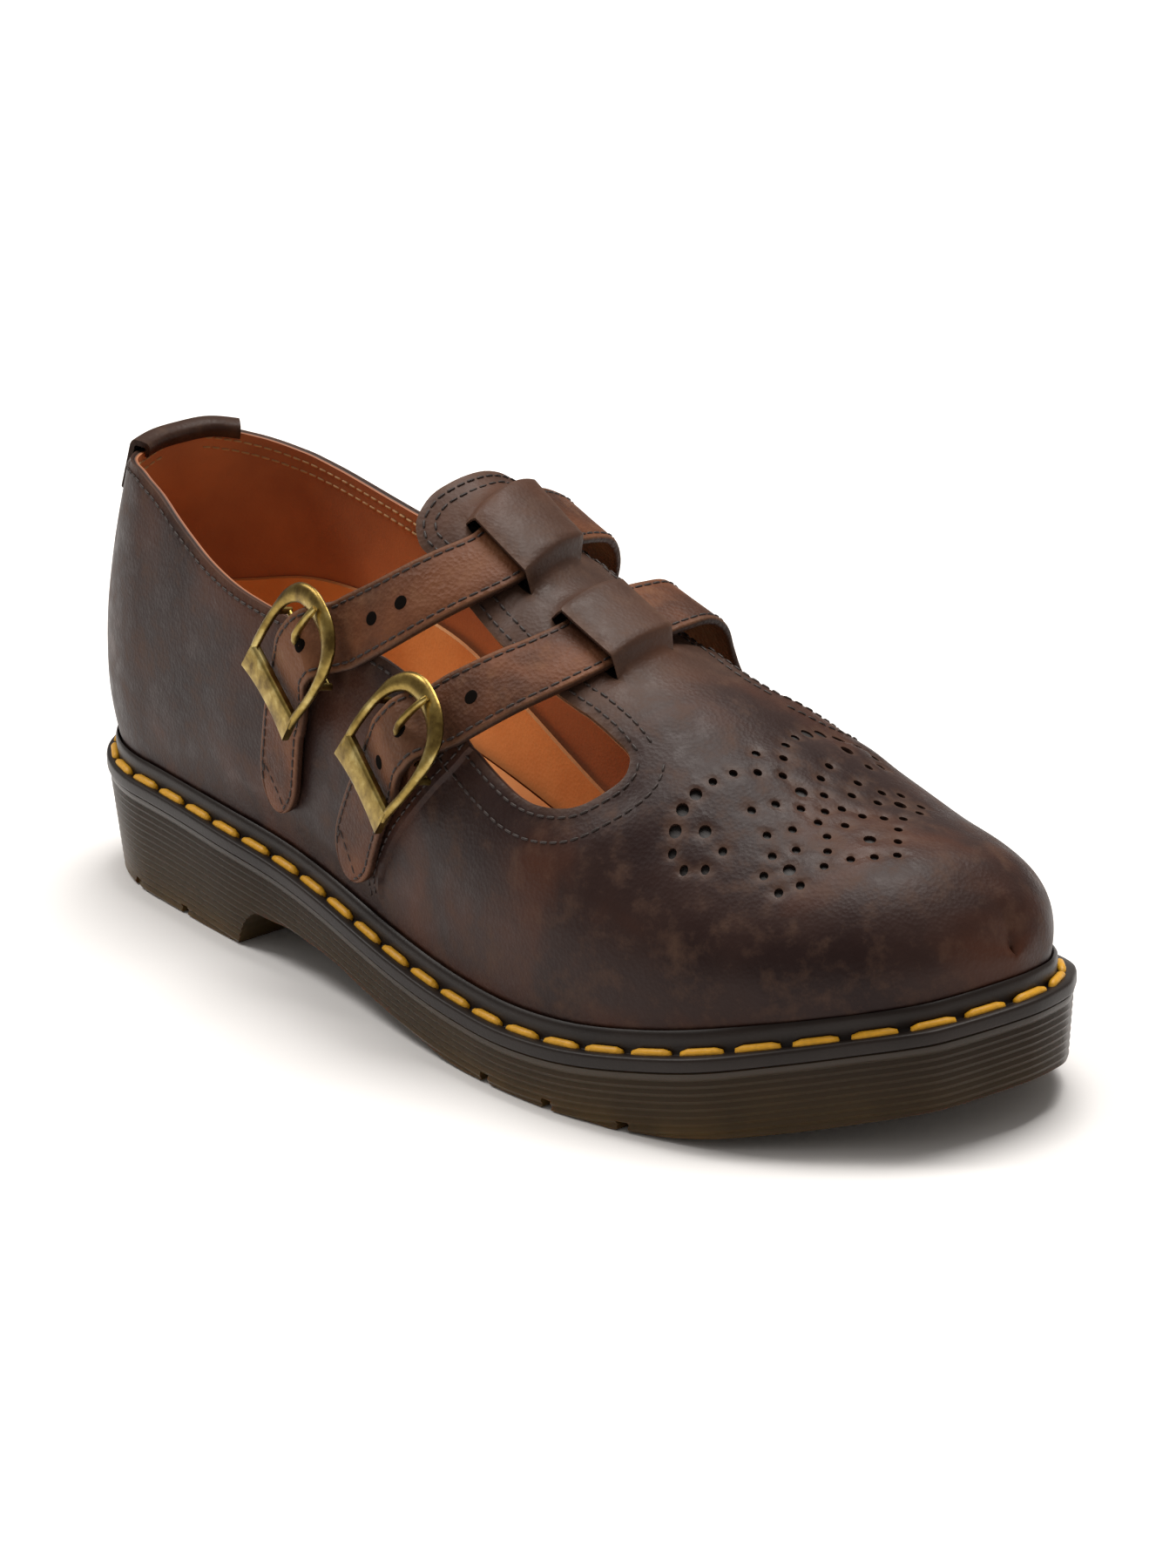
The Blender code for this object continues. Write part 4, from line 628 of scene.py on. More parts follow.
# Upper. Oiled brown pull-up leather drawn over the last: a vamp with the T-bar and its two raised
# bridges, and quarters that lap over it. The pattern lines lie on a flat chart of the last, are
# cut out there and are then thickened, so edges, steps and holes are real.
STEPS = np.concatenate([np.linspace(0, 1, FAN_ROWS + 1)[:-1],
                        1 + np.linspace(0, LAST_ROW, ROW_STEPS * LAST_ROW + 1)])
GRID = np.array([
    np.vstack([even(rib(u, -1), HALF_RIB + 1), even(rib(u, 1), HALF_RIB + 1)[::-1][1:]]) for u in STEPS
])
OUT = np.cross(np.gradient(GRID, axis=0), np.gradient(GRID, axis=1))
OUT /= np.maximum(np.linalg.norm(OUT, axis=2, keepdims=True), 1e-9)
if OUT[len(STEPS) // 2, HALF_RIB, 2] < 0:
    OUT = -OUT
OUT[0, :HALF_RIB] = OUT[1, :HALF_RIB]
OUT[0, HALF_RIB + 1:] = OUT[1, HALF_RIB + 1:]
OUT[-1] = OUT[-2]
for end in (0, -1):
    joint = OUT[end, :HALF_RIB] + OUT[end, :HALF_RIB:-1]
    joint /= np.linalg.norm(joint, axis=1, keepdims=True)
    OUT[end, :HALF_RIB] = joint
    OUT[end, :HALF_RIB:-1] = joint
OUT[-1, HALF_RIB] = OUT[-1, HALF_RIB - 1]

FOOT_RUN = np.r_[0, np.cumsum((np.linalg.norm(np.diff(GRID[:, 0], axis=0), axis=1)
                               + np.linalg.norm(np.diff(GRID[:, -1], axis=0), axis=1)) / 2)]
A_OF_STEP = FOOT_RUN - FOOT_RUN[FAN_ROWS] + HEEL_X
A_END = float(A_OF_STEP[-1])


def on_last(a, b):
    """Points and outward directions of the last at chart points."""
    a = np.asarray(a, float)
    b = np.asarray(b, float)
    fan = a < HEEL_X
    turn = np.arctan2(np.abs(b), np.maximum(HEEL_X - a, 1e-9))
    row = np.where(fan, turn / (math.pi / 2) * FAN_ROWS,
                   FAN_ROWS + np.interp(a, A_OF_STEP[FAN_ROWS:], np.arange(len(STEPS) - FAN_ROWS)))
    share = np.where(fan, np.hypot(np.minimum(a - HEEL_X, 0), b), np.abs(b)) / 100.0
    col = HALF_RIB + np.where(b < 0, -1, 1) * np.clip(share, 0, 1) * HALF_RIB
    i = np.clip(np.floor(row).astype(int), 0, len(STEPS) - 2)
    j = np.clip(np.floor(col).astype(int), 0, 2 * HALF_RIB - 1)
    s = (row - i)[..., None]
    t = (col - j)[..., None]
    where, normal = ((1 - s) * (1 - t) * f[i, j] + s * (1 - t) * f[i + 1, j] + (1 - s) * t * f[i, j + 1]
                     + s * t * f[i + 1, j + 1] for f in (GRID, OUT))
    return where, normal / np.linalg.norm(normal, axis=-1, keepdims=True)


def chart_from_row(row, side, share):
    """Row position and rib share to chart."""
    if row < FAN_ROWS:
        turn = row / FAN_ROWS * math.pi / 2
        return HEEL_X - 100 * share * math.cos(turn), side * 100 * share * math.sin(turn)
    a = float(np.interp(row - FAN_ROWS, np.arange(len(STEPS) - FAN_ROWS), A_OF_STEP[FAN_ROWS:]))
    return a, side * 100 * share


def at_height(x, z, side):
    """Chart point where the last stands at x and z on one side."""
    columns = GRID[:, :HALF_RIB + 1][:, ::-1] if side < 0 else GRID[:, HALF_RIB:]
    shares = np.linspace(0, 1, HALF_RIB + 1)
    where = np.array([np.interp(z, r[::-1, 2], shares[::-1]) for r in columns])
    xs = np.array([np.interp(w, shares, r[:, 0]) for w, r in zip(where, columns)])
    good = slice(0, len(STEPS) - 4)
    row = float(np.interp(x, xs[good], np.arange(len(STEPS))[good]))
    return chart_from_row(row, side, float(np.interp(row, np.arange(len(STEPS)), where)))


def at_plan(x, y):
    """Chart point of a spot seen from above, rows only."""
    row = float(np.interp(x, GRID[FAN_ROWS:, HALF_RIB, 0], np.arange(FAN_ROWS, len(STEPS))))
    k = min(int(row), len(STEPS) - 2)
    line = GRID[k] * (1 - (row - k)) + GRID[k + 1] * (row - k)
    crest = line[HALF_RIB, 1]
    side = -1 if y < crest else 1
    half = np.abs((line[:HALF_RIB + 1][::-1] if side < 0 else line[HALF_RIB:])[:, 1] - crest)
    top = int(np.argmax(half))
    shares = np.linspace(0, 1, HALF_RIB + 1)[:top + 1]
    return chart_from_row(row, side, float(np.interp(abs(y - crest), half[:top + 1], shares)))


def heights(rows, side):
    return [at_height(x, z, side) for x, z in rows]


def plans(rows):
    return [at_plan(x, y) for x, y in rows]


def curve(points, pitch):
    """Smooth line through chart points at about the pitch."""
    p = np.array(points, float)
    run = run_of(p)
    s = np.linspace(0, run[-1], max(2, int(round(run[-1] / pitch))) + 1)
    return np.column_stack([smooth(run, p[:, 0], s), smooth(run, p[:, 1], s)])


def inside(points, polygon):
    """Which points lie in a polygon."""
    x, y = points[:, 0], points[:, 1]
    hit = np.zeros(len(points), bool)
    for (x0, y0), (x1, y1) in zip(polygon, np.roll(polygon, -1, axis=0)):
        if y0 == y1:
            continue
        hit ^= ((y0 > y) != (y1 > y)) & (x < (x1 - x0) * (y - y0) / (y1 - y0) + x0)
    return hit


def to_line(points, line):
    """Distance of points from a line and the sign of its side."""
    best = np.full(len(points), 1e9)
    sign = np.ones(len(points))
    for p, v in zip(line[:-1], np.diff(line, axis=0)):
        w = points - p
        away = w - np.clip((w @ v) / (v @ v), 0, 1)[:, None] * v
        r = np.hypot(away[:, 0], away[:, 1])
        near = r < best
        best = np.where(near, r, best)
        sign = np.where(near, np.sign(v[0] * w[:, 1] - v[1] * w[:, 0]), sign)
    return best, sign


cols_n = 2 * HALF_RIB + 1
TREE = BVHTree.FromPolygons([Vector(p) for p in GRID.reshape(-1, 3)], [
    (i * cols_n + j, i * cols_n + j + 1, (i + 1) * cols_n + j + 1, (i + 1) * cols_n + j)
    for i in range(len(STEPS) - 1) for j in range(cols_n - 1)])


def drape(point):
    """Foot of a point on the last, the direction out of it and its chart point."""
    spot, _, index, _ = TREE.find_nearest(Vector(point))
    spot = np.array(spot)
    i, j = divmod(index, cols_n - 1)
    down = GRID[i + 1, j] - GRID[i, j]
    over = GRID[i, j + 1] - GRID[i, j]
    away = spot - GRID[i, j]
    s = float(np.clip(away @ down / (down @ down + 1e-12), 0, 1))
    t = float(np.clip(away @ over / (over @ over + 1e-12), 0, 1))
    normal = ((1 - s) * (1 - t) * OUT[i, j] + s * (1 - t) * OUT[i + 1, j]
              + (1 - s) * t * OUT[i, j + 1] + s * t * OUT[i + 1, j + 1])
    chart = chart_from_row(i + s, -1 if j + t < HALF_RIB else 1, abs(j + t - HALF_RIB) / HALF_RIB)
    return spot, normal / np.linalg.norm(normal), chart


class Path:
    """Line on the last with its own along, across and out directions; s is 0 at the buckle bar."""

    def __init__(self, points, pin):
        p = np.array([drape(q)[0] for q in points])
        run = run_of(p)
        s = np.linspace(0, run[-1], 160)
        fine = np.column_stack([smooth(run, p[:, k], s) for k in range(3)])
        fine = np.array([drape(q)[0] for q in fine])
        for _ in range(12):
            fine[1:-1] = (fine[:-2] + 2 * fine[1:-1] + fine[2:]) / 4
        feet = [drape(q) for q in fine]
        self.line = np.array([f[0] for f in feet])
        self.out = np.array([f[1] for f in feet])
        for _ in range(14):
            self.out[1:-1] = (self.out[:-2] + 2 * self.out[1:-1] + self.out[2:]) / 4
        run = run_of(self.line)
        at = int(np.argmin(np.linalg.norm(self.line - np.array(pin, float), axis=1)))
        self.s = run[at] - run
        self.first = float(self.s[0]) - 1.5
        self.last = float(self.s[-1])

    def spot(self, s, field):
        return np.array([np.interp(s, self.s[::-1], field[::-1, k]) for k in range(3)])

    def frame(self, s):
        out = self.spot(s, self.out)
        out /= np.linalg.norm(out)
        along = self.spot(s + 1.5, self.line) - self.spot(s - 1.5, self.line)
        along -= out * (along @ out)
        along /= np.linalg.norm(along)
        return self.spot(s, self.line), along, np.cross(out, along), out

    def place(self, s, across, rise):
        spot, _, side, _ = self.frame(s)
        foot, normal, _ = drape(spot + side * across)
        return foot + normal * rise


STRAP_WIDE = 17.3
STRAP_THICK = 2.0
REAR_PATH = Path([(139.5, 33.0, 87), (145.5, 25.5, 100), (150.3, 15, 110), (153.4, 4.8, 112),
                  (156.4, -4.8, 111), (158.6, -14.8, 107), (154.4, -25, 103), (144.5, -32.5, 96),
                  (133.0, -36, 89.5), (121.8, -37.4, 83.5), (115.5, -38.2, 74.5), (111.2, -38.5, 65),
                  (108.8, -38.2, 56), (106.8, -37.8, 48), (105.0, -37.4, 41.0)],
                 (121.8, -37.4, 83.5))
FRONT_PATH = Path([(180.5, 34.5, 79), (182.2, 27, 88), (184.8, 15, 93.5), (185.8, 3.6, 95.5),
                   (187.4, -5, 96), (188.3, -15.2, 93.5), (184.4, -27.5, 88.8), (175.5, -36.5, 82.5),
                   (168.6, -39.8, 77.8), (162.4, -42.0, 72.4), (155.6, -43.8, 64.5), (149.6, -44.6, 56.5),
                   (144.2, -44.4, 48.5), (139.6, -43.4, 40.5), (136.2, -42.6, 33.5)],
                  (162.4, -42.0, 72.4))


def stub_end(path):
    """Two chart points of the quarter's stub under the strap's first edge, toe end first."""
    half = STRAP_WIDE / 2 + 0.7
    ends = [path.place(path.first + 0.5, a, 0.0) for a in (-half, half)]
    return [drape(p)[2] for p in sorted(ends, key=lambda p: -p[0])]


EDGE_PITCH = 1.5
COLLAR_LATERAL = [(19, 105.5), (23, 105.9), (30, 106.4), (38, 105.4), (46, 102.6), (54, 98.8), (61, 95.7),
                  (69, 92.6), (78, 90.2), (95, 87.5), (112, 86.6), (130, 86.4), (144, 85.6), (154, 83.2),
                  (164, 79.6), (173, 76.3)]
WINDOW_LATERAL = [(180, 72.6), (189, 69.0), (197, 66.6), (204, 66.0), (210.5, 67.0), (215.5, 70.2),
                  (217.6, 74.0)]
BAR_LATERAL = [(215.6, -26.6), (209, -25.8), (201, -25.8), (190, -26.6), (176, -26.8), (160, -25.6),
               (147, -24.2)]
TONGUE = [(140.5, -23.6), (137.6, -21.6), (136.6, -17.5), (137.6, -9.5), (137.9, -4.5), (137.6, 1.0),
          (136.8, 8.0), (137.8, 11.6), (140.4, 13.6)]
BAR_MEDIAL = [(147, 14.6), (158, 15.6), (172, 17.0), (186, 18.0), (198, 18.6), (206, 19.4), (212.5, 21.4)]
WINDOW_MEDIAL = [(216.0, 74.2), (216.6, 70.2), (213.6, 66.8), (208.0, 65.2), (202.0, 66.4)]
STUB_FRONT = [(196.5, 69.6), (193.4, 73.2)]
TEARDROP = [(169.4, 77.6), (165.8, 74.0), (161.0, 72.4), (156.4, 74.2), (153.2, 78.4)]
COLLAR_MEDIAL = [(127.5, 86.9), (120, 86.3), (110, 86.4), (96, 87.5), (84, 88.9), (72, 90.8), (66, 92.0),
                 (56, 93.9), (46, 95.8), (37, 97.6), (30, 99.5), (24.8, 101.4), (21.2, 103.0),
                 (18.8, 104.4)]
BACK_HEIGHT = 105.4
BACK_SHARE = float(np.interp(BACK_HEIGHT, GRID[0, :HALF_RIB + 1, 2], np.linspace(1, 0, HALF_RIB + 1)))
BACK_TOP = (HEEL_X - 100 * BACK_SHARE, 0.0)
front_toe, front_heel = stub_end(FRONT_PATH)
rear_toe, rear_heel = stub_end(REAR_PATH)
lateral_edge = curve([BACK_TOP] + heights(COLLAR_LATERAL, -1) + heights(WINDOW_LATERAL, -1)
                     + plans(BAR_LATERAL) + plans(TONGUE), EDGE_PITCH)
medial_bar = curve([plans(TONGUE)[-1]] + plans(BAR_MEDIAL) + heights(WINDOW_MEDIAL, 1)
                   + heights(STUB_FRONT, 1) + [front_toe], EDGE_PITCH)
medial_drop = curve([front_heel] + heights(TEARDROP, 1) + [rear_toe], EDGE_PITCH)
medial_collar = curve([rear_heel] + heights(COLLAR_MEDIAL, 1) + [BACK_TOP], EDGE_PITCH)
opening = np.vstack([lateral_edge, medial_bar[1:], medial_drop, medial_collar[:-1]])

SLIT_HALF = 11.2
SLITS = [(158.5, -14.6), (153.4, 4.8), (188.2, -15.2), (185.8, 3.6)]
BRIDGE_RISE = 5.3
BRIDGE_RAMP = 2.7
MARGIN_DIP = 0.7
SWELL_RISE = 0.9
SWELL_REACH = 3.6
SWELL_RAMP = 4.6
SWELL_END = 0.25
LAP = 1.1
SEAM_LATERAL = [(178.5, 73.2), (176.5, 70.0), (171.0, 64.0), (163.0, 55.5), (153.0, 44.0), (147.0, 34.0),
                (145.0, 24.0), (144.5, 17.6)]
SEAM_MEDIAL = [(198.5, 68.2), (196.5, 64.5), (190.0, 58.0), (181.0, 49.5), (171.0, 39.0), (164.0, 29.0),
               (161.0, 21.0), (160.0, 15.6)]
seam_l = curve(heights(SEAM_LATERAL, -1), 2.0)
seam_m = curve(heights(SEAM_MEDIAL, 1), 2.0)
BEHIND = {side: float(to_line(np.array([at_height(100.0, 60.0, side)]), line)[1][0])
          for side, line in ((-1, seam_l), (1, seam_m))}


def slit_loop(x, y):
    lean = 1.0 if y < 0 else -1.0
    wide = 0.35
    shares = np.linspace(-1, 1, 17)
    upper = [(s * SLIT_HALF, wide * (1 - s ** 8)) for s in shares]
    lower = [(s * SLIT_HALF, -wide * (1 - s ** 8)) for s in shares[-2:0:-1]]
    return np.array([at_plan(x + dx, y + dy * lean) for dx, dy in upper + lower])


def lift_of(points, where, soft=0.35, raised=True):
    """Height of the leather's outer face over the last at chart points."""
    lift = np.zeros(len(points))
    fade = ease((91.5 - np.abs(points[:, 1])) / 7.0) * ease((where[:, 0] - 60.0) / 30.0)
    vamp_bar = (where[:, 0] > 134) & (where[:, 1] > -29) & (where[:, 1] < 22.5)
    for line, side in ((seam_l, -1), (seam_m, 1)):
        reach, sign = to_line(points, line)
        here = (points[:, 1] * side > 0) & ~vamp_bar
        lift = np.where(here, LAP * fade * ease((reach * sign * BEHIND[side] + soft) / (2 * soft)), lift)
    bar = (where[:, 0] > 136) & (where[:, 0] < 214) & (where[:, 2] > 70)
    bar &= (where[:, 1] > -30) & (where[:, 1] < 24)
    for left, right in ((0, 1), (2, 3)):
        (xl, yl), (xm, ym) = SLITS[left], SLITS[right]
        t = (where[:, 1] - ym) / (yl - ym)
        off = np.abs(where[:, 0] - xm - (xl - xm) * t)
        between = bar & (t > 0.0) & (t < 1.0) & (off < SLIT_HALF + SWELL_REACH)
        swell = ease((SLIT_HALF + SWELL_REACH - off) / SWELL_RAMP) * (SWELL_RISE if raised else 0.0)
        swell = swell * ease(t / SWELL_END) * ease((1 - t) / SWELL_END)
        full = BRIDGE_RISE if raised else -MARGIN_DIP
        lift = np.where(between, swell + (full - swell) * ease((SLIT_HALF - off) / BRIDGE_RAMP), lift)
        margin = bar & (off < SLIT_HALF) & (((t > -1.0) & (t < 0.0)) | ((t > 1.0) & (t < 2.0)))
        lift = np.where(margin, -MARGIN_DIP * ease((SLIT_HALF - off) / BRIDGE_RAMP), lift)
    return lift


# Medallion of punched holes: along and across the toe's middle line, then radius
MEDALLION_AT = (231.1, -3.3)
MEDALLION_TURN = 6.0
BIG, SMALL = 1.45, 1.0
MEDALLION_MIDDLE = [(0.5, SMALL), (8.2, SMALL), (13.6, BIG), (20.4, SMALL), (26.1, SMALL), (33.1, BIG),
                    (40.8, SMALL)]
MEDALLION_SIDE = [
    (1.5, 8.9, SMALL), (0.0, 14.0, SMALL), (-0.7, 18.9, BIG), (-0.7, 23.4, BIG), (0.8, 27.6, BIG),
    (3.0, 31.2, SMALL), (7.2, 32.2, SMALL), (11.2, 29.6, SMALL), (12.0, 24.6, SMALL), (6.2, 23.8, BIG),
    (4.6, 4.3, SMALL), (10.4, 13.0, SMALL), (12.7, 7.6, SMALL), (16.8, 3.9, SMALL), (21.8, 4.0, SMALL),
    (19.6, 10.0, SMALL), (16.8, 15.3, SMALL), (26.0, 6.0, SMALL), (23.8, 13.8, SMALL), (21.0, 18.5, SMALL),
    (29.1, 9.6, SMALL), (37.7, 4.1, SMALL), (34.4, 8.2, SMALL), (31.3, 13.5, SMALL), (26.0, 18.8, BIG),
    (22.5, 23.2, SMALL), (30.2, 20.3, SMALL), (27.4, 24.2, SMALL),
]


def medallion():
    """Round hole outlines on the chart."""
    turn = math.radians(MEDALLION_TURN)
    rows = [(s, 0.0, r) for s, r in MEDALLION_MIDDLE]
    rows += [(s, side * a, r) for s, a, r in MEDALLION_SIDE for side in (-1, 1)]
    loops = []
    for s, a, r in rows:
        x = MEDALLION_AT[0] + s * math.cos(turn) - a * math.sin(turn)
        y = MEDALLION_AT[1] + s * math.sin(turn) + a * math.cos(turn)
        turns = np.linspace(0, 2 * math.pi, 13)[:-1]
        loops.append(np.array([at_plan(x + r * math.cos(t), y + r * math.sin(t)) for t in turns]))
    return loops


def foot_border(pitch):
    """Outline of the whole chart, where the upper goes under the welt."""
    fan = [(HEEL_X - 100 * math.cos(t), 100 * math.sin(t))
           for t in np.linspace(-math.pi / 2, math.pi / 2, 61)]
    steps = list(np.linspace(HEEL_X, A_END, int((A_END - HEEL_X) / pitch))[1:])
    tip = [(A_END, b) for b in np.arange(-96.0, 97.0, 8.0)]
    return np.array(fan[::-1] + [(a, -100.0) for a in steps] + tip + [(a, 100.0) for a in steps][::-1])


def dots(pitch):
    """Even dots over the chart, rows shifted by half a step."""
    found = []
    for k, a in enumerate(np.arange(HEEL_X + pitch * 0.5, A_END - 1.0, pitch * 0.88)):
        found += [(a, b) for b in np.arange(-99.2 + (k % 2) * pitch * 0.45, 99.3, pitch * 0.9)]
    for k, r in enumerate(np.arange(22, 99.4, pitch)):
        count = max(3, int(round(math.pi * r / pitch / 1.15)))
        turns = np.linspace(-math.pi / 2, math.pi / 2, count + 1) + (k % 2) * 0.5 * math.pi / count
        found += [(HEEL_X - r * math.cos(t), r * math.sin(t)) for t in turns]
    found = np.array(found)
    return found[(found[:, 0] > HEEL_X) | (np.hypot(found[:, 0] - HEEL_X, found[:, 1]) < 99.4)]


# Lines that the mesh follows beside a bridge, past the slits' ends and short of them
PAST_SLIT = (1.5, 0.0, -0.7, -1.4, -2.1, -2.8)


def cut_sheet(pitch, holes, slitted=True):
    """Triangles of the upper on the chart: points, triangles."""
    border = foot_border(pitch)
    slits = [slit_loop(x, y) for x, y in SLITS if slitted]
    loops = [border, opening] + slits + holes
    lines = []
    for line in (seam_l, seam_m):
        d = np.gradient(line, axis=0)
        d /= np.linalg.norm(d, axis=1, keepdims=True)
        side = np.column_stack([-d[:, 1], d[:, 0]])
        lines += [line + 0.35 * side, line - 0.35 * side]
    lines = [line[:-2] for line in lines]
    for (xl, yl), (xm, ym) in ((SLITS[0], SLITS[1]), (SLITS[2], SLITS[3])):
        for past in PAST_SLIT:
            for sign in (-1, 1):
                off = sign * (SLIT_HALF + past)
                lines.append(np.array([at_plan(xm + (xl - xm) * s + off, ym + (yl - ym) * s)
                                       for s in np.linspace(0.04, 0.96, 14)]))
    points = []
    edges = []
    for loop in loops:
        base = len(points)
        points += [tuple(p) for p in loop]
        edges += [(base + k, base + (k + 1) % len(loop)) for k in range(len(loop))]
    for line in lines:
        base = len(points)
        points += [tuple(p) for p in line]
        edges += [(base + k, base + k + 1) for k in range(len(line) - 1)]
    fill = dots(pitch)
    fill = fill[inside(fill, border) & ~inside(fill, opening)]
    near = KDTree(len(points))
    for k, p in enumerate(points):
        near.insert((p[0], p[1], 0), k)
    near.balance()
    fill = [p for p in fill if near.find((p[0], p[1], 0))[2] > pitch * 0.42]
    points += [tuple(p) for p in fill]
    verts, _, tris, _, _, _ = delaunay_2d_cdt([Vector(p) for p in points], edges, [], 0, 1e-5)
    flat = np.array([(v.x, v.y) for v in verts])
    middle = np.array([flat[list(t)].mean(axis=0) for t in tris])
    keep = inside(middle, border) & ~inside(middle, opening)
    for loop in slits + holes:
        box = (np.abs(middle - loop.mean(axis=0)) < 20).all(axis=1) & keep
        keep[box] &= ~inside(middle[box], loop)
    return flat, np.array([t for t, k in zip(tris, keep) if k])


def close_tip(flat, where, normal):
    """Makes both halves of the chart's far end, the line down the toe's front, meet exactly."""
    far = flat[:, 0] > A_END - 0.01
    twin, twin_normal = on_last(flat[far, 0], -flat[far, 1])
    where[far] = (where[far] + twin) / 2
    normal[far] = (normal[far] + twin_normal) / 2


def merged(points, tris):
    """Triangles with the points that fall together at the toe tip joined, without the flat ones."""
    _, first, back = np.unique(np.round(points / 0.03).astype(int), axis=0, return_index=True,
                               return_inverse=True)
    tris = first[back.reshape(-1)[tris]]
    whole = (tris[:, 0] != tris[:, 1]) & (tris[:, 1] != tris[:, 2]) & (tris[:, 0] != tris[:, 2])
    return tris[whole]


def rim_edges(tris):
    """Edges with one triangle, in that triangle's direction."""
    count = {}
    for t in tris:
        for a, b in ((t[0], t[1]), (t[1], t[2]), (t[2], t[0])):
            key = (min(a, b), max(a, b))
            count[key] = None if key in count else (a, b)
    return [e for e in count.values() if e]


def thickened(name, top, low, tris, look):
    """A closed sheet of leather between two sets of points."""
    used = np.unique(tris)
    index = np.full(len(top), -1)
    index[used] = np.arange(len(used))
    tris = index[tris]
    n = len(used)
    faces = [tuple(t) for t in tris] + [tuple(t[::-1] + n) for t in tris]
    faces += [(b, a, a + n, b + n) for a, b in rim_edges(tris)]
    return leather_mesh(name, np.vstack([top[used], low[used]]), faces, look), used


def pull_up_leather(name, deep, mid, worn, patch_mm=34.0, rough=0.44, red=None, grain=0.14):
    """Oiled pull-up leather: waxy, dark, lighter and greyer where it is rubbed or bent, with painted shade
    where the shade attribute says.
    """
    mat, tree, out = blank(name)
    place = add(tree, "ShaderNodeTexCoord").outputs["Object"]
    broad = add(tree, "ShaderNodeTexNoise", {"Vector": place, "Scale": 1000 / patch_mm, "Detail": 3.0,
                                             "Roughness": 0.5, "Distortion": 0.4}).outputs["Fac"]
    tint = add(tree, "ShaderNodeValToRGB", {"Fac": broad},
               ramp=[(0.34, deep), (0.52, mid), (0.72, red or mid)])
    small = add(tree, "ShaderNodeTexNoise", {"Vector": place, "Scale": 150.0, "Detail": 6.0,
                                             "Roughness": 0.65}).outputs["Fac"]
    rub = add(tree, "ShaderNodeMapRange", {"Value": small, "From Min": 0.5, "From Max": 0.78,
                                           "To Max": 0.55}).outputs["Result"]
    rubbed = add(tree, "ShaderNodeMix", {"Factor": rub, "A": tint.outputs["Color"], "B": linear(worn)},
                 data_type="RGBA")
    mark = add(tree, "ShaderNodeAttribute", attribute_name="wear").outputs["Fac"]
    aged = add(tree, "ShaderNodeMix", {"Factor": mark, "A": rubbed.outputs["Result"], "B": linear(worn)},
               data_type="RGBA")
    # Painted shade: the colour mixes towards near black where the shade attribute says
    shade = add(tree, "ShaderNodeAttribute", attribute_name="shade").outputs["Fac"]
    dark = add(tree, "ShaderNodeMix", {"Factor": shade, "A": aged.outputs["Result"], "B": linear("1D1512")},
               data_type="RGBA")
    cells = add(tree, "ShaderNodeTexVoronoi", {"Vector": place, "Scale": 1000.0}).outputs["Distance"]
    fine = add(tree, "ShaderNodeTexNoise", {"Vector": place, "Scale": 420.0, "Detail": 7.0,
                                            "Roughness": 0.7}).outputs["Fac"]
    sum_up = add(tree, "ShaderNodeMath", {0: cells, 1: fine}, operation="ADD").outputs["Value"]
    bump = add(tree, "ShaderNodeBump", {"Height": sum_up, "Strength": grain, "Distance": 0.0005})
    smoothest, dullest = rough - 0.08, rough + 0.16
    gloss = add(tree, "ShaderNodeMapRange", {"Value": small, "From Min": 0.3, "From Max": 0.75,
                                             "To Min": smoothest, "To Max": dullest}).outputs["Result"]
    shader = add(tree, "ShaderNodeBsdfPrincipled", {"Base Color": dark.outputs["Result"],
                                                    "Roughness": gloss, "Specular IOR Level": 0.15,
                                                    "Normal": bump.outputs["Normal"]})
    tree.links.new(shader.outputs["BSDF"], out.inputs["Surface"])
    return mat


def paint(ob, name, values):
    """A value for each point of the mesh that the material reads."""
    layer = ob.data.attributes.new(name, "FLOAT", "POINT")
    layer.data.foreach_set("value", np.asarray(values, np.float32))


# Folds across the vamp: plan points from the outer to the inner side, width, depth
CREASES = [
    ([(214, -38), (220, -24), (224, -8), (226, 8), (224, 24)], 5.0, 0.5),
    ([(222, -34), (228, -18), (230, -2), (230, 14), (226, 30)], 3.6, 0.35),
    ([(206, -44), (214, -40), (220, -34)], 3.0, 0.35),
    ([(218, 30), (222, 38), (222, 45)], 3.6, 0.4),
]


def creased(where):
    """Dents of the folds, in millimetres, over the vamp."""
    dent = np.zeros(len(where))
    for line, wide, deep in CREASES:
        fine = curve(line, 3.0)
        reach, _ = to_line(where[:, :2], fine)
        dent -= deep * np.exp(-(reach / wide) ** 2) * (where[:, 2] > 30)
        dent += 0.45 * deep * np.exp(-((reach - 1.7 * wide) / wide) ** 2) * (where[:, 2] > 30)
    return dent


OUTER_THICK = 1.3
EDGE_ROUND = 0.4
upper_leather = pull_up_leather("upper_pull_up_leather", "251715", "30201C", "5A4234", red="4A2A1C")


def rounded_edge(where, tris, reach=1.5):
    """Closeness to the cut edge, 1 at it and 0 past the reach."""
    rim = sorted({i for e in rim_edges(tris) for i in e})
    near = KDTree(len(rim))
    for k in rim:
        near.insert(where[k], int(k))
    near.balance()
    away = np.array([near.find(p)[2] for p in where])
    return np.clip(1 - away / reach, 0, 1)


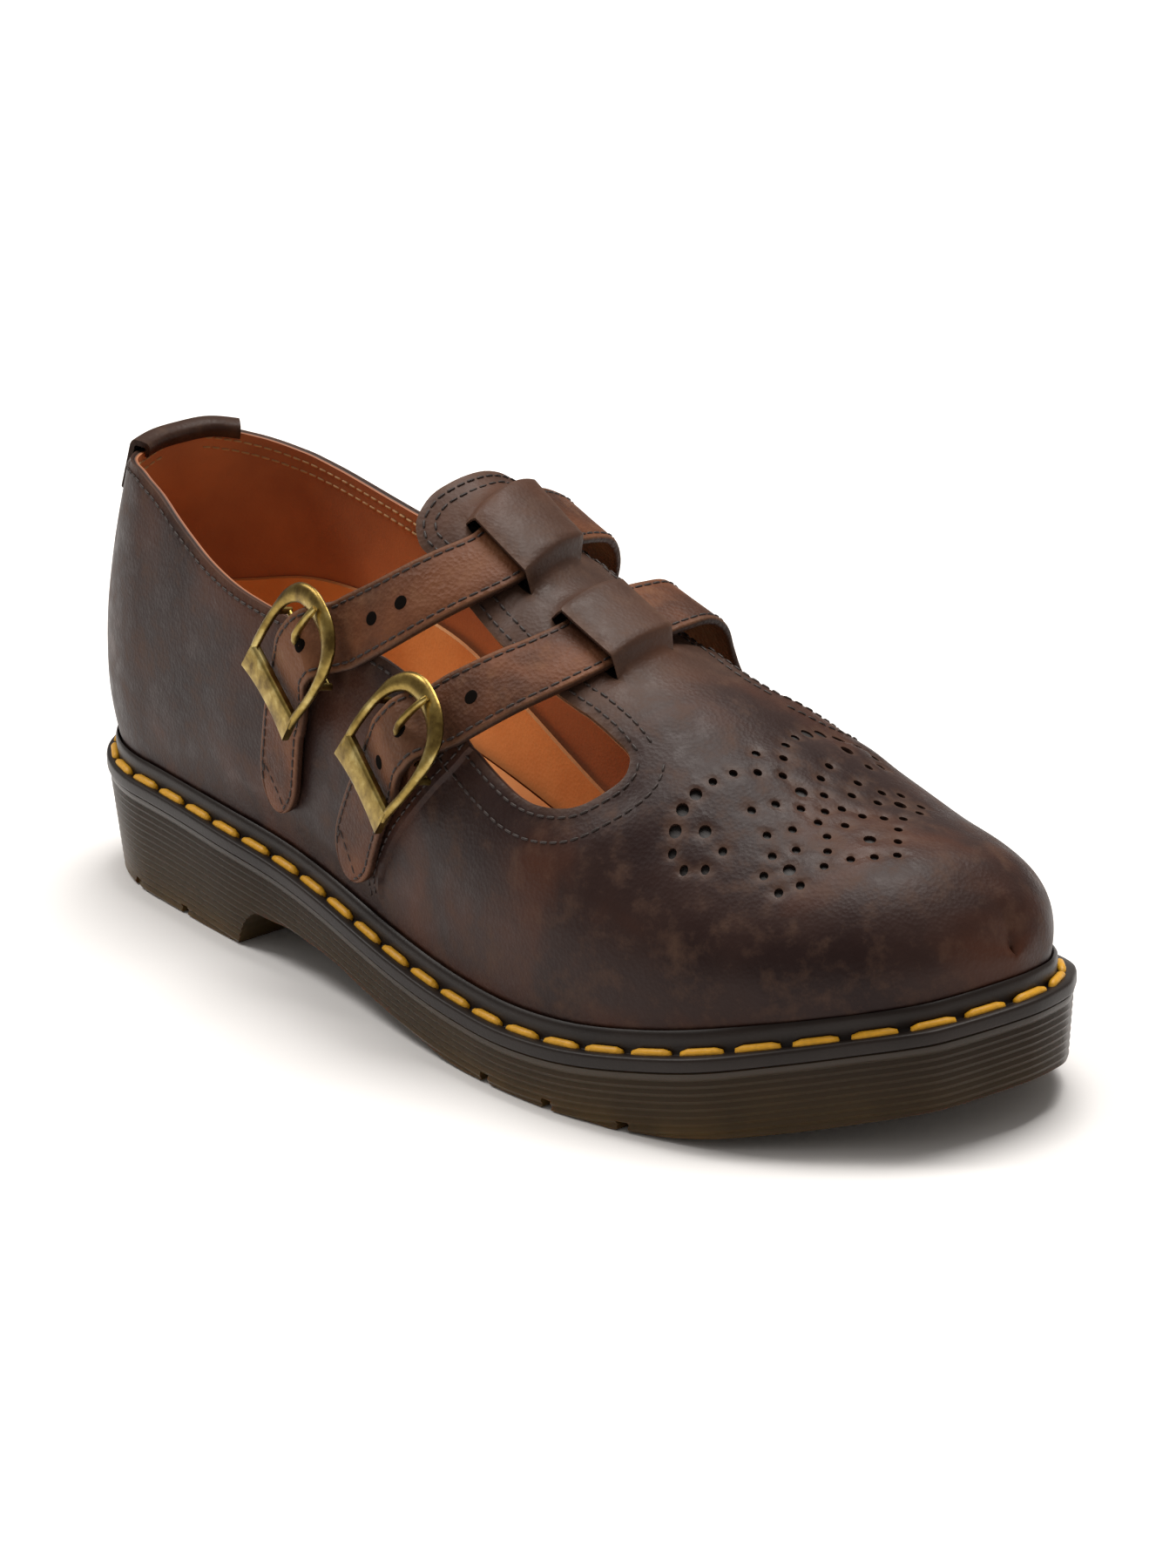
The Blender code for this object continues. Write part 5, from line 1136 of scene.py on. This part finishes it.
def upper():
    flat, tris = cut_sheet(2.1, medallion())
    where, normal = on_last(flat[:, 0], flat[:, 1])
    close_tip(flat, where, normal)
    tris = merged(where, tris)
    lift = lift_of(flat, where)
    soft = rounded_edge(where, tris)
    soft = soft * (flat[:, 0] < A_END - 4.0)
    top = where + normal * (lift + creased(where) - EDGE_ROUND * soft ** 2)[:, None]
    low = where + normal * (lift - OUTER_THICK)[:, None]
    body, used = thickened("upper_outer", top, low, tris, upper_leather)
    bar = ease((where[:, 0] - 130) / 6) * ease((216 - where[:, 0]) / 14)
    bar = bar * ease((30 - np.abs(where[:, 1] + 5)) / 8) * (where[:, 2] > 72)
    wear = np.clip(0.35 * bar + 0.35 * soft, 0, 1)
    n = len(used)
    paint(body, "wear", np.r_[wear[used], np.zeros(n)])
    # Painted shade: the back face is darkened halfway, so the walls of cut edges, slits and holes darken
    # towards the back
    paint(body, "shade", np.r_[np.zeros(n), np.full(n, 0.5)])
    on_shoe(body, 42)
    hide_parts("upper")


upper()

# Lining. Soft tan leather glued inside the upper and sewn down along the collar. Its outer side carries
# painted shade, near black, so that the slits and the punched holes of the medallion look deep.


def lining_leather():
    """Drum dyed lining leather, brown orange, smooth, with painted shade, near black, where the shade
    attribute says.
    """
    mat, tree, out = blank("lining_leather")
    place = add(tree, "ShaderNodeTexCoord").outputs["Object"]
    cloud = add(tree, "ShaderNodeTexNoise", {"Vector": place, "Scale": 26.0, "Detail": 4.0}).outputs["Fac"]
    tint = add(tree, "ShaderNodeValToRGB", {"Fac": cloud}, ramp=[(0.3, "8A5236"), (0.7, "B87448")])
    shade = add(tree, "ShaderNodeAttribute", attribute_name="shade").outputs["Fac"]
    dark = add(tree, "ShaderNodeMix", {"Factor": shade, "A": tint.outputs["Color"], "B": linear("160E0B")},
               data_type="RGBA")
    grain = add(tree, "ShaderNodeTexVoronoi", {"Vector": place, "Scale": 1300.0}).outputs["Distance"]
    bump = add(tree, "ShaderNodeBump", {"Height": grain, "Strength": 0.12, "Distance": 0.0003})
    shader = add(tree, "ShaderNodeBsdfPrincipled", {"Base Color": dark.outputs["Result"], "Roughness": 0.6,
                                                    "Normal": bump.outputs["Normal"]})
    tree.links.new(shader.outputs["BSDF"], out.inputs["Surface"])
    return mat


LINING_TOP = 1.36
WALL = 2.2


def lining():
    flat, tris = cut_sheet(3.0, [], slitted=False)
    where, normal = on_last(flat[:, 0], flat[:, 1])
    close_tip(flat, where, normal)
    tris = merged(where, tris)
    lift = lift_of(flat, where, raised=False)
    top = where + normal * (lift - LINING_TOP)[:, None]
    low = where + normal * (lift - WALL)[:, None]
    body, used = thickened("upper_lining", top, low, tris, lining_leather())
    n = len(used)
    # Painted shade: the lining's outer face, seen through the slits and holes, is made near black
    paint(body, "shade", np.r_[np.ones(n), np.zeros(n)])
    on_shoe(body, 42)
    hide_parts("upper")


lining()

# Seam stitches of the upper. Dark brown thread, short even stitches pressed into the leather a
# little in from every cut edge, and in pairs where the quarters lap the vamp.
SEAM_PITCH = 2.8
SEAM_STITCH = 2.15
SEAM_THREAD = 0.3


def on_leather(spots, raise_by=0.05):
    """Points and directions on the leather's outer face under the spots."""
    feet = [drape(p) for p in spots]
    where = np.array([f[0] for f in feet])
    normal = np.array([f[1] for f in feet])
    charts = np.array([f[2] for f in feet])
    return where + normal * (lift_of(charts, where, 0.2) + creased(where) + raise_by)[:, None], normal


def stitch_row(line, inset, side, pitch=SEAM_PITCH):
    """Stitch places along a chart line, moved to one side of it by the inset."""
    where, normal = on_last(line[:, 0], line[:, 1])
    along = np.gradient(where, axis=0)
    along /= np.linalg.norm(along, axis=1, keepdims=True)
    spots = where + np.cross(normal, along) * inset * side
    at, direction = spaced(spots, pitch, pitch / 2)
    at, out = on_leather(at)
    return [(p, t - o * (t @ o), o) for p, t, o in zip(at, direction, out)]


def leather_side(line):
    """Which side of a cut edge the leather is on."""
    where, normal = on_last(line[:, 0], line[:, 1])
    k = len(line) // 2
    along = where[k + 1] - where[k - 1]
    spot = where[k] + np.cross(normal[k], along / np.linalg.norm(along)) * 3.0
    return -1 if inside(np.array([drape(spot)[2]]), opening)[0] else 1


def seam_stitches():
    rows = []
    collar_l = curve([BACK_TOP] + heights(COLLAR_LATERAL, -1), 1.5)
    window_l = curve(heights(COLLAR_LATERAL[-3:], -1) + heights(WINDOW_LATERAL, -1)
                     + plans(BAR_LATERAL[:1]), 1.5)
    bar_l = curve(plans(BAR_LATERAL), 1.5)
    tongue = curve(plans(BAR_LATERAL[-1:]) + plans(TONGUE) + plans(BAR_MEDIAL[:1]), 1.2)
    bar_m = curve(plans(BAR_MEDIAL), 1.5)
    window_m = curve(plans(BAR_MEDIAL[-1:]) + heights(WINDOW_MEDIAL, 1) + heights(STUB_FRONT, 1), 1.5)
    rounds = [(collar_l, (2.0,)), (window_l, (2.2, 8.0)), (bar_l, (2.2, 6.0)), (tongue, (2.2, 5.0)),
              (bar_m, (2.2, 6.0)), (window_m, (2.2, 8.0)), (medial_drop, (2.0,)), (medial_collar, (2.0,))]
    for line, insets in rounds:
        side = leather_side(line)
        for inset in insets:
            rows += stitch_row(line, inset, side)
    for line, side in ((seam_l, -1), (seam_m, 1)):
        where, normal = on_last(line[:, 0], line[:, 1])
        k = len(line) // 2
        cross = np.cross(normal[k], where[k + 1] - where[k - 1])
        back = -1.0 if cross[0] > 0 else 1.0
        for inset in (2.0, 4.6):
            rows += stitch_row(line[:-5], inset, back)
    stitch_bars("upper_stitches", rows, SEAM_STITCH, SEAM_THREAD, thread("dark_brown_thread", "2A1B15"))
    rows = []
    for line in (collar_l[6:], medial_collar[:-6]):
        side = leather_side(line)
        for inset in (2.4, 5.2):
            for p, t, _ in stitch_row(line, inset, side):
                foot, normal, _ = drape(p)
                rows.append((foot - normal * (WALL + 0.05), t, -normal))
    stitch_bars("lining_stitches", rows, SEAM_STITCH, SEAM_THREAD, thread("tan_thread", "C79B68"))


seam_stitches()

# Heel tab. A strip of the same leather folded over the back of the collar and sewn down on both
# sides, so its fold is the highest edge at the heel.


def heel_tab():
    shape = [(0.35, -11.0), (0.4, 0.2), (0.1, 0.6), (-2.3, 0.6), (-2.6, 0.2), (-2.65, -1.4), (-3.3, -1.6),
             (-3.65, -1.2), (-3.7, 0.5), (-3.4, 1.3), (-2.7, 1.85), (-1.1, 2.0), (0.7, 1.85), (1.4, 1.3),
             (1.65, 0.5), (1.6, -10.6), (1.25, -11.0)]
    turns = np.linspace(-0.4, 0.4, 33)
    tops = []
    for turn in turns:
        side = -1 if turn < 0 else 1
        shares = np.linspace(0.1, 1.0, 400)
        charts = np.array([chart_from_row(abs(turn) * FAN_ROWS, side, s) for s in shares])
        tops.append(on_last(*charts[inside(charts, opening)][-1:].T)[0][0][2])
    for _ in range(30):
        tops[1:-1] = [(a + 2 * b + c) / 4 for a, b, c in zip(tops[:-2], tops[1:-1], tops[2:])]
    rings = []
    for turn, edge in zip(turns, tops):
        line = rib(abs(turn), -1 if turn < 0 else 1)
        top = edge + 0.3
        ring = []
        for n, h in shape:
            z = top + h
            foot = np.array([np.interp(z, line[:, 2], line[:, k]) for k in range(3)])
            ring.append(foot + drape(foot)[1] * n)
        rings.append(ring)
    n = len(shape)
    last = (len(rings) - 1) * n
    ends = []
    for base in (0, last):
        ends += [(base, base + 1, base + 14, base + 15, base + 16),
                 (base + 1, base + 2, base + 12, base + 13, base + 14),
                 (base + 2, base + 3, base + 11, base + 12),
                 (base + 3, base + 4, base + 9, base + 10, base + 11),
                 (base + 4, base + 5, base + 6, base + 7, base + 8, base + 9)]
    look = pull_up_leather("tab_leather", "281A15", "35231B", "574030")
    body = leather_mesh("heel_tab_leather", [p for r in rings for p in r], bridge(rings) + ends, look)
    on_shoe(body, 45)
    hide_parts("heel_tab")
    rows = []
    for h in (-9.2, -1.2):
        line = []
        for ring in rings[1:-1]:
            low, high = np.array(ring[15]), np.array(ring[14])
            line.append(low + (high - low) * ((h + 10.6) / 11.2))
        at, along = spaced(np.array(line), 2.6, 1.0)
        for p, t in zip(at, along):
            o = drape(p)[1]
            rows.append((p + o * 0.02, t, o))
    stitch_bars("heel_tab_stitches", rows, 2.0, SEAM_THREAD, bpy.data.materials["dark_brown_thread"])


heel_tab()

# Straps. Two bands of the lighter, redder pull-up leather, cut in one with the inner quarter: they
# pass over the T-bar's margins, under its bridges, over the outer opening and back down under the
# buckle's round end, over its bar and under its plate. Their edges are rounded, and painted shade
# darkens their sides, under sides and stitch grooves.
STRAP_SHAPE = [(-1.0, 0.28), (-1.0, 0.68), (-0.975, 0.88), (-0.93, 0.98), (-0.85, 1.0), (-0.8, 0.92),
               (-0.75, 1.0), (-0.4, 1.03), (0.0, 1.04), (0.4, 1.03), (0.75, 1.0), (0.8, 0.92), (0.85, 1.0),
               (0.93, 0.98), (0.975, 0.88), (1.0, 0.68), (1.0, 0.28), (0.97, 0.06), (0.9, 0.0), (0.3, 0.0),
               (-0.3, 0.0), (-0.9, 0.0), (-0.97, 0.06)]


def strap_rise(path, bar_edge, s):
    """Height of the strap's under side over the last."""
    knots = [(path.last, 1.5), (path.last + 10, 1.6), (-21, 2.6), (-15, 3.2), (-8, 5.2), (-4.5, 6.5),
             (-1.2, 6.75), (2.4, 6.6), (4.7, 4.9), (7.0, 2.3), (10.0, 1.5), (14.0, 1.45), (20.0, 1.5),
             (bar_edge - 6.0, 1.35), (bar_edge + 1.5, 0.45), (path.first - 32.0, 0.45),
             (path.first - 26.0, 2.4), (path.first - 20.0, 4.6), (path.first - 13.0, 4.0),
             (path.first - 6.0, 1.2), (path.first - 1.0, -0.6), (path.first + 3.0, -1.3)]
    if s > path.last + 9:
        return float(smooth([k[0] for k in knots], [k[1] for k in knots], s))
    return 1.55


def strap_half(path, bar_edge, s):
    """Half width of the strap, round at the tail."""
    half = STRAP_WIDE / 2 + 0.7 * float(ease((s - bar_edge - 24) / 10.0))
    half -= 0.45 * float(ease((12 - abs(s)) / 4))
    if s < -21:
        half *= 0.95
    if s < path.last + 11:
        q = (s - path.last) / 11.0
        half = max(0.6, half * math.sqrt(max(1 - (1 - q) ** 2, 0)))
    return half


def strap(tag, path, bar_edge, holes):
    look = pull_up_leather("strap_leather_" + tag, "44291C", "633C27", "7D5940", patch_mm=22.0,
                           red="6E452C", rough=0.5, grain=0.3)
    tail = path.last + np.array([0.15, 0.5, 1.0, 1.7, 2.6, 3.7, 5.0, 6.5, 8.2, 10.0, 12.0])
    stations = list(tail) + list(np.arange(tail[-1] + 1.5, path.first + 2.4, 1.1))
    rings = []
    wear = []
    for s in stations:
        half = strap_half(path, bar_edge, s)
        rise = strap_rise(path, bar_edge, s)
        rings.append([path.place(s, share * half, rise + high * STRAP_THICK)
                      for share, high in STRAP_SHAPE])
        bent = math.exp(-((s - 1.0) / 7.0) ** 2)
        wear += [0.25 * bent + (0.3 if 0.9 < abs(share) < 0.99 and high > 0.8 else 0.0)
                 for share, high in STRAP_SHAPE]
    body = tube("strap_%s_leather" % tag, rings, look)
    paint(body, "wear", wear)
    # Painted shade: sides and under side darkened most, edge bevels and stitch grooves a little
    paint(body, "shade", [0.75 if high < 0.8 else (0.3 if high < 0.95 else 0.0) for _ in rings
                          for _, high in STRAP_SHAPE])
    on_shoe(body, 50)
    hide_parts("strap_" + tag)

    def top(s, share, extra=0.0):
        return path.place(s, share * strap_half(path, bar_edge, s),
                          strap_rise(path, bar_edge, s) + STRAP_THICK + extra)

    rows = []
    loop = [top(s, -0.8) for s in np.arange(path.first - 3, path.last + 6, -1.0)]
    loop += [top(path.last + 1.9 + 4.1 * (1 - math.cos(t)), -0.8 * math.cos(t))
             for t in np.linspace(0.5, math.pi - 0.5, 12)]
    loop += [top(s, 0.8) for s in np.arange(path.last + 6, path.first - 3, 1.0)]
    at, along = spaced(np.array(loop), SEAM_PITCH, 1.0)
    for p, t in zip(at, along):
        o = drape(p)[1]
        o = o - t * (o @ t)
        rows.append((p - 0.02 * o, t, o / np.linalg.norm(o)))
    stitch_bars("strap_%s_stitches" % tag, rows, SEAM_STITCH, SEAM_THREAD,
                bpy.data.materials["dark_brown_thread"])
    # Painted shade for the punched holes: near-black discs laid just over the strap's face; the holes are
    # not cut
    points = []
    faces = []
    for s in holes:
        base = len(points)
        for radius, high in ((1.6, -0.2), (1.6, 0.13), (1.4, 0.16), (0.8, 0.14)):
            for k in range(16):
                t = 2 * math.pi * k / 16
                half = strap_half(path, bar_edge, s)
                points.append(top(s + radius * math.cos(t), radius * math.sin(t) / half, high))
        for ring in range(3):
            a = base + ring * 16
            faces += [(a + k, a + (k + 1) % 16, a + 16 + (k + 1) % 16, a + 16 + k) for k in range(16)]
        faces += [tuple(range(base, base + 16))[::-1], tuple(range(base + 48, base + 64))]
    punched = leather_mesh("strap_%s_holes" % tag, points, faces, hole_shadow())
    on_shoe(punched, 40)


def hole_shadow():
    """Painted shade for a punched hole: a near-black disc laid just over the strap's face."""
    if "painted_hole_shade" in bpy.data.materials:
        return bpy.data.materials["painted_hole_shade"]
    mat, tree, out = blank("painted_hole_shade")
    shader = add(tree, "ShaderNodeBsdfPrincipled", {"Base Color": linear("0B0705"), "Roughness": 0.9,
                                                    "Specular IOR Level": 0.05})
    tree.links.new(shader.outputs["BSDF"], out.inputs["Surface"])
    return mat


strap("rear", REAR_PATH, 46.0, (1.4, 20.5, 29.0))
strap("front", FRONT_PATH, 33.0, (1.4, 17.5, -9.2))

# Buckles. Cast brass, rubbed bright on its edges and brown in its corners: a frame that is wide
# at the round end, a plain flat plate over the tail, a middle bar, and a pin that wraps the bar,
# comes up through the strap and rests on the round end. A leather loop holds the bar.


def aged_brass():
    """Brass with a dark patina, polished where it is touched."""
    mat, tree, out = blank("aged_brass")
    place = add(tree, "ShaderNodeTexCoord").outputs["Object"]
    cloud = add(tree, "ShaderNodeTexNoise", {"Vector": place, "Scale": 170.0, "Detail": 5.0,
                                             "Roughness": 0.6}).outputs["Fac"]
    tint = add(tree, "ShaderNodeValToRGB", {"Fac": cloud},
               ramp=[(0.35, "5E4B26"), (0.55, "957F45"), (0.75, "C6B478")])
    gloss = add(tree, "ShaderNodeMapRange", {"Value": cloud, "To Min": 0.42,
                                             "To Max": 0.24}).outputs["Result"]
    fine = add(tree, "ShaderNodeTexNoise", {"Vector": place, "Scale": 900.0, "Detail": 3.0}).outputs["Fac"]
    bump = add(tree, "ShaderNodeBump", {"Height": fine, "Strength": 0.12, "Distance": 0.0003})
    shader = add(tree, "ShaderNodeBsdfPrincipled", {"Base Color": tint.outputs["Color"], "Metallic": 1.0,
                                                    "Roughness": gloss, "Normal": bump.outputs["Normal"]})
    tree.links.new(shader.outputs["BSDF"], out.inputs["Surface"])
    return mat


BRASS = aged_brass()
PLATE_HALF = 11.6
PLATE_HOLLOW = 1.2
BAR_HALF = 11.8
BAR_RISE = 3.9
WRAP_REACH = 1.75


def sweep(name, points, wide, high, up, sides=16):
    """A bar of oval section along points, closed at both ends."""
    p = np.array(points, float)
    n = len(p)
    rings = []
    for k in range(n):
        t = p[min(k + 1, n - 1)] - p[max(k - 1, 0)]
        t /= np.linalg.norm(t)
        out = up - t * (up @ t)
        out /= np.linalg.norm(out)
        side = np.cross(t, out)
        w = wide[k] if hasattr(wide, "__len__") else wide
        h = high[k] if hasattr(high, "__len__") else high
        turns = [2 * math.pi * i / sides for i in range(sides)]
        rings.append([p[k] + h * math.cos(a) * out + w * math.sin(a) * side for a in turns])
    return tube(name, rings, BRASS)


def buckle(tag, path, turn, along_by, across_by):
    spot, straight, level, out = path.frame(0.0)
    c, s = math.cos(math.radians(turn)), math.sin(math.radians(turn))
    along = straight * c + level * s
    side = level * c - straight * s
    spot = spot + along * along_by + side * across_by

    def at(s, a, rise):
        foot, normal, _ = drape(spot + along * s + side * a)
        return foot + normal * rise

    rod = [(-13.5, -10.8, 8.3, 1.05), (-9.5, -11.4, 8.2, 1.05), (-5.0, -11.9, 7.8, 1.1),
           (0.5, -11.9, 7.5, 1.2)]
    for k in range(1, 8):
        t = math.pi * k / 8
        c, s = math.cos(t), math.sin(t)
        rod.append((0.5 + 11.0 * s ** 0.82, -11.7 * math.copysign(abs(c) ** 0.82, c), 7.5, 1.25 + 1.6 * s))
    rod += [(s, -a, r, w) for s, a, r, w in rod[3::-1]]
    rod = np.array(rod)
    run = run_of(rod[:, :2])
    fine = np.linspace(0, run[-1], 72)
    rod = np.column_stack([smooth(run, rod[:, k], fine) for k in range(4)])
    bar = [at(0.0, a, BAR_RISE) for a in np.linspace(-BAR_HALF, BAR_HALF, 13)]
    flat = np.minimum(rod[:, 3], 1.2)
    pieces = [sweep("buckle_%s_frame" % tag, [at(*r[:3]) for r in rod], rod[:, 3], flat, out),
              sweep("buckle_%s_bar" % tag, bar, 0.75, 0.75, out, 12)]
    for k, a in enumerate((-BAR_HALF, BAR_HALF)):
        post = [at(0.0, a, 3.3), at(0.0, a, 7.4)]
        pieces.append(sweep("buckle_%s_post_%d" % (tag, k), post, 0.9, 0.9, along, 12))
    plate = []
    for a in np.linspace(-PLATE_HALF, PLATE_HALF, 19):
        hollow = PLATE_HOLLOW * (1 - (a / PLATE_HALF) ** 2)
        shape = [(-17.4 + hollow, 7.35), (-17.6 + hollow, 7.6), (-17.6 + hollow, 8.8),
                 (-17.3 + hollow, 9.2), (-16.8 + hollow, 9.3), (-11.0, 9.3), (-10.4, 9.15), (-10.1, 8.8),
                 (-10.1, 7.6), (-10.3, 7.35)]
        plate.append([at(s, a, r) for s, r in shape])
    pieces.append(tube("buckle_%s_plate" % tag, plate, BRASS))
    for made in pieces:
        on_shoe(made, 40)
        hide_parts("buckle_frame_" + tag)
    turns = [math.radians(t) for t in range(-60, -241, -20)]
    wrap = [(WRAP_REACH * math.cos(t), BAR_RISE + WRAP_REACH * math.sin(t)) for t in turns]
    wrap += [(0.6, 6.6), (1.8, 8.2), (3.0, 9.2), (4.6, 9.9), (6.4, 10.1), (8.0, 10.1), (9.6, 10.0),
             (11.2, 9.9), (12.6, 9.7)]
    radius = [0.7] * (len(wrap) - 8) + [0.95, 1.1, 1.2, 1.2, 1.15, 1.1, 1.0, 0.7]
    pin = sweep("buckle_%s_pin" % tag, [at(s, 0.0, r) for s, r in wrap], radius,
                [min(r, 0.8) for r in radius], side, 14)
    on_shoe(pin, 50)
    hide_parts("buckle_pin_" + tag)


buckle("rear", REAR_PATH, 13.0, -1.5, 1.4)
buckle("front", FRONT_PATH, 6.0, -1.5, -0.1)
for tag in ("rear", "front"):
    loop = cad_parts["chape_" + tag]
    loop.data.materials.clear()
    loop.data.materials.append(bpy.data.materials["strap_leather_" + tag])

# Floor, light and camera of the photograph: a floor of white paper, two large soft lamps above it,
# and the camera at the place that was fitted to the photo, turned so that the one shoe fills it.
CAMERA_AT = (1240.2, -901.0, 539.5)
CAMERA_RIGHT = (0.6741, 0.7381, -0.0290)
CAMERA_UP = (-0.1924, 0.2134, 0.9578)
CAMERA_BACK = (0.7131, -0.6401, 0.2859)
PHOTO_FOCUS = 6163.7
PHOTO_MIDDLE = (675.0, 900.0)
FRAME_MIDDLE = (497.0, 1185.0)
FRAME_HIGH = 1500.0
SENSOR = 36.0
ROOM_COLOUR = (1.0, 0.94, 0.89, 1.0)
ROOM_LIGHT = 0.3
LAMP_COLOUR = (1.0, 0.96, 0.92)
LAMPS = [("key", (-1.2, -0.5, 1.8), 0.7, 22.0), ("top", (-0.1, 0.5, 1.8), 1.1, 40.0)]
LAMP_AIM = (0.0, 0.0, 0.04)
FLOOR_DROP = 0.0003


def studio():
    mat, tree, out = blank("white_paper")
    shader = add(tree, "ShaderNodeBsdfPrincipled", {"Base Color": (0.9, 0.9, 0.9, 1.0), "Roughness": 0.9,
                                                    "Specular IOR Level": 0.1})
    tree.links.new(shader.outputs["BSDF"], out.inputs["Surface"])
    bm = bmesh.new()
    bmesh.ops.create_grid(bm, x_segments=1, y_segments=1, size=6.0)
    mesh = bpy.data.meshes.new("floor")
    bm.to_mesh(mesh)
    bm.free()
    mesh.materials.append(mat)
    floor = bpy.data.objects.new("floor", mesh)
    floor.location = (0, 0, -FLOOR_DROP)
    bpy.context.scene.collection.objects.link(floor)
    world = bpy.data.worlds.new("white_room")
    bpy.context.scene.world = world
    world.use_nodes = True
    world.node_tree.nodes["Background"].inputs["Color"].default_value = ROOM_COLOUR
    world.node_tree.nodes["Background"].inputs["Strength"].default_value = ROOM_LIGHT
    for name, at, size, power in LAMPS:
        data = bpy.data.lights.new(name, "AREA")
        data.size = size
        data.energy = power
        data.color = LAMP_COLOUR
        lamp = bpy.data.objects.new(name, data)
        lamp.location = at
        lamp.rotation_euler = (Vector(at) - Vector(LAMP_AIM)).to_track_quat("Z", "Y").to_euler()
        bpy.context.scene.collection.objects.link(lamp)


def camera():
    right, up, back = (np.array(v) for v in (CAMERA_RIGHT, CAMERA_UP, CAMERA_BACK))
    ray = right * (FRAME_MIDDLE[0] - PHOTO_MIDDLE[0]) - up * (FRAME_MIDDLE[1] - PHOTO_MIDDLE[1])
    ray = ray - back * PHOTO_FOCUS
    new_back = -ray / np.linalg.norm(ray)
    new_right = np.cross(up, new_back)
    new_right /= np.linalg.norm(new_right)
    new_up = np.cross(new_back, new_right)
    data = bpy.data.cameras.new("camera")
    data.sensor_width = SENSOR
    data.lens = float(np.linalg.norm(ray)) * SENSOR / FRAME_HIGH
    data.clip_start = 0.05
    cam = bpy.data.objects.new("camera", data)
    at = Vector(((CAMERA_AT[0] - MID_X) * 0.001, (CAMERA_AT[1] - MID_Y) * 0.001, CAMERA_AT[2] * 0.001))
    turn = Matrix([list(row) for row in np.column_stack([new_right, new_up, new_back])]).to_4x4()
    cam.matrix_world = Matrix.Translation(at) @ turn
    bpy.context.scene.collection.objects.link(cam)
    bpy.context.scene.camera = cam


studio()
camera()
scene = bpy.context.scene
scene.view_settings.view_transform = "Standard"
scene.render.resolution_x = 1350
scene.render.resolution_y = 1800
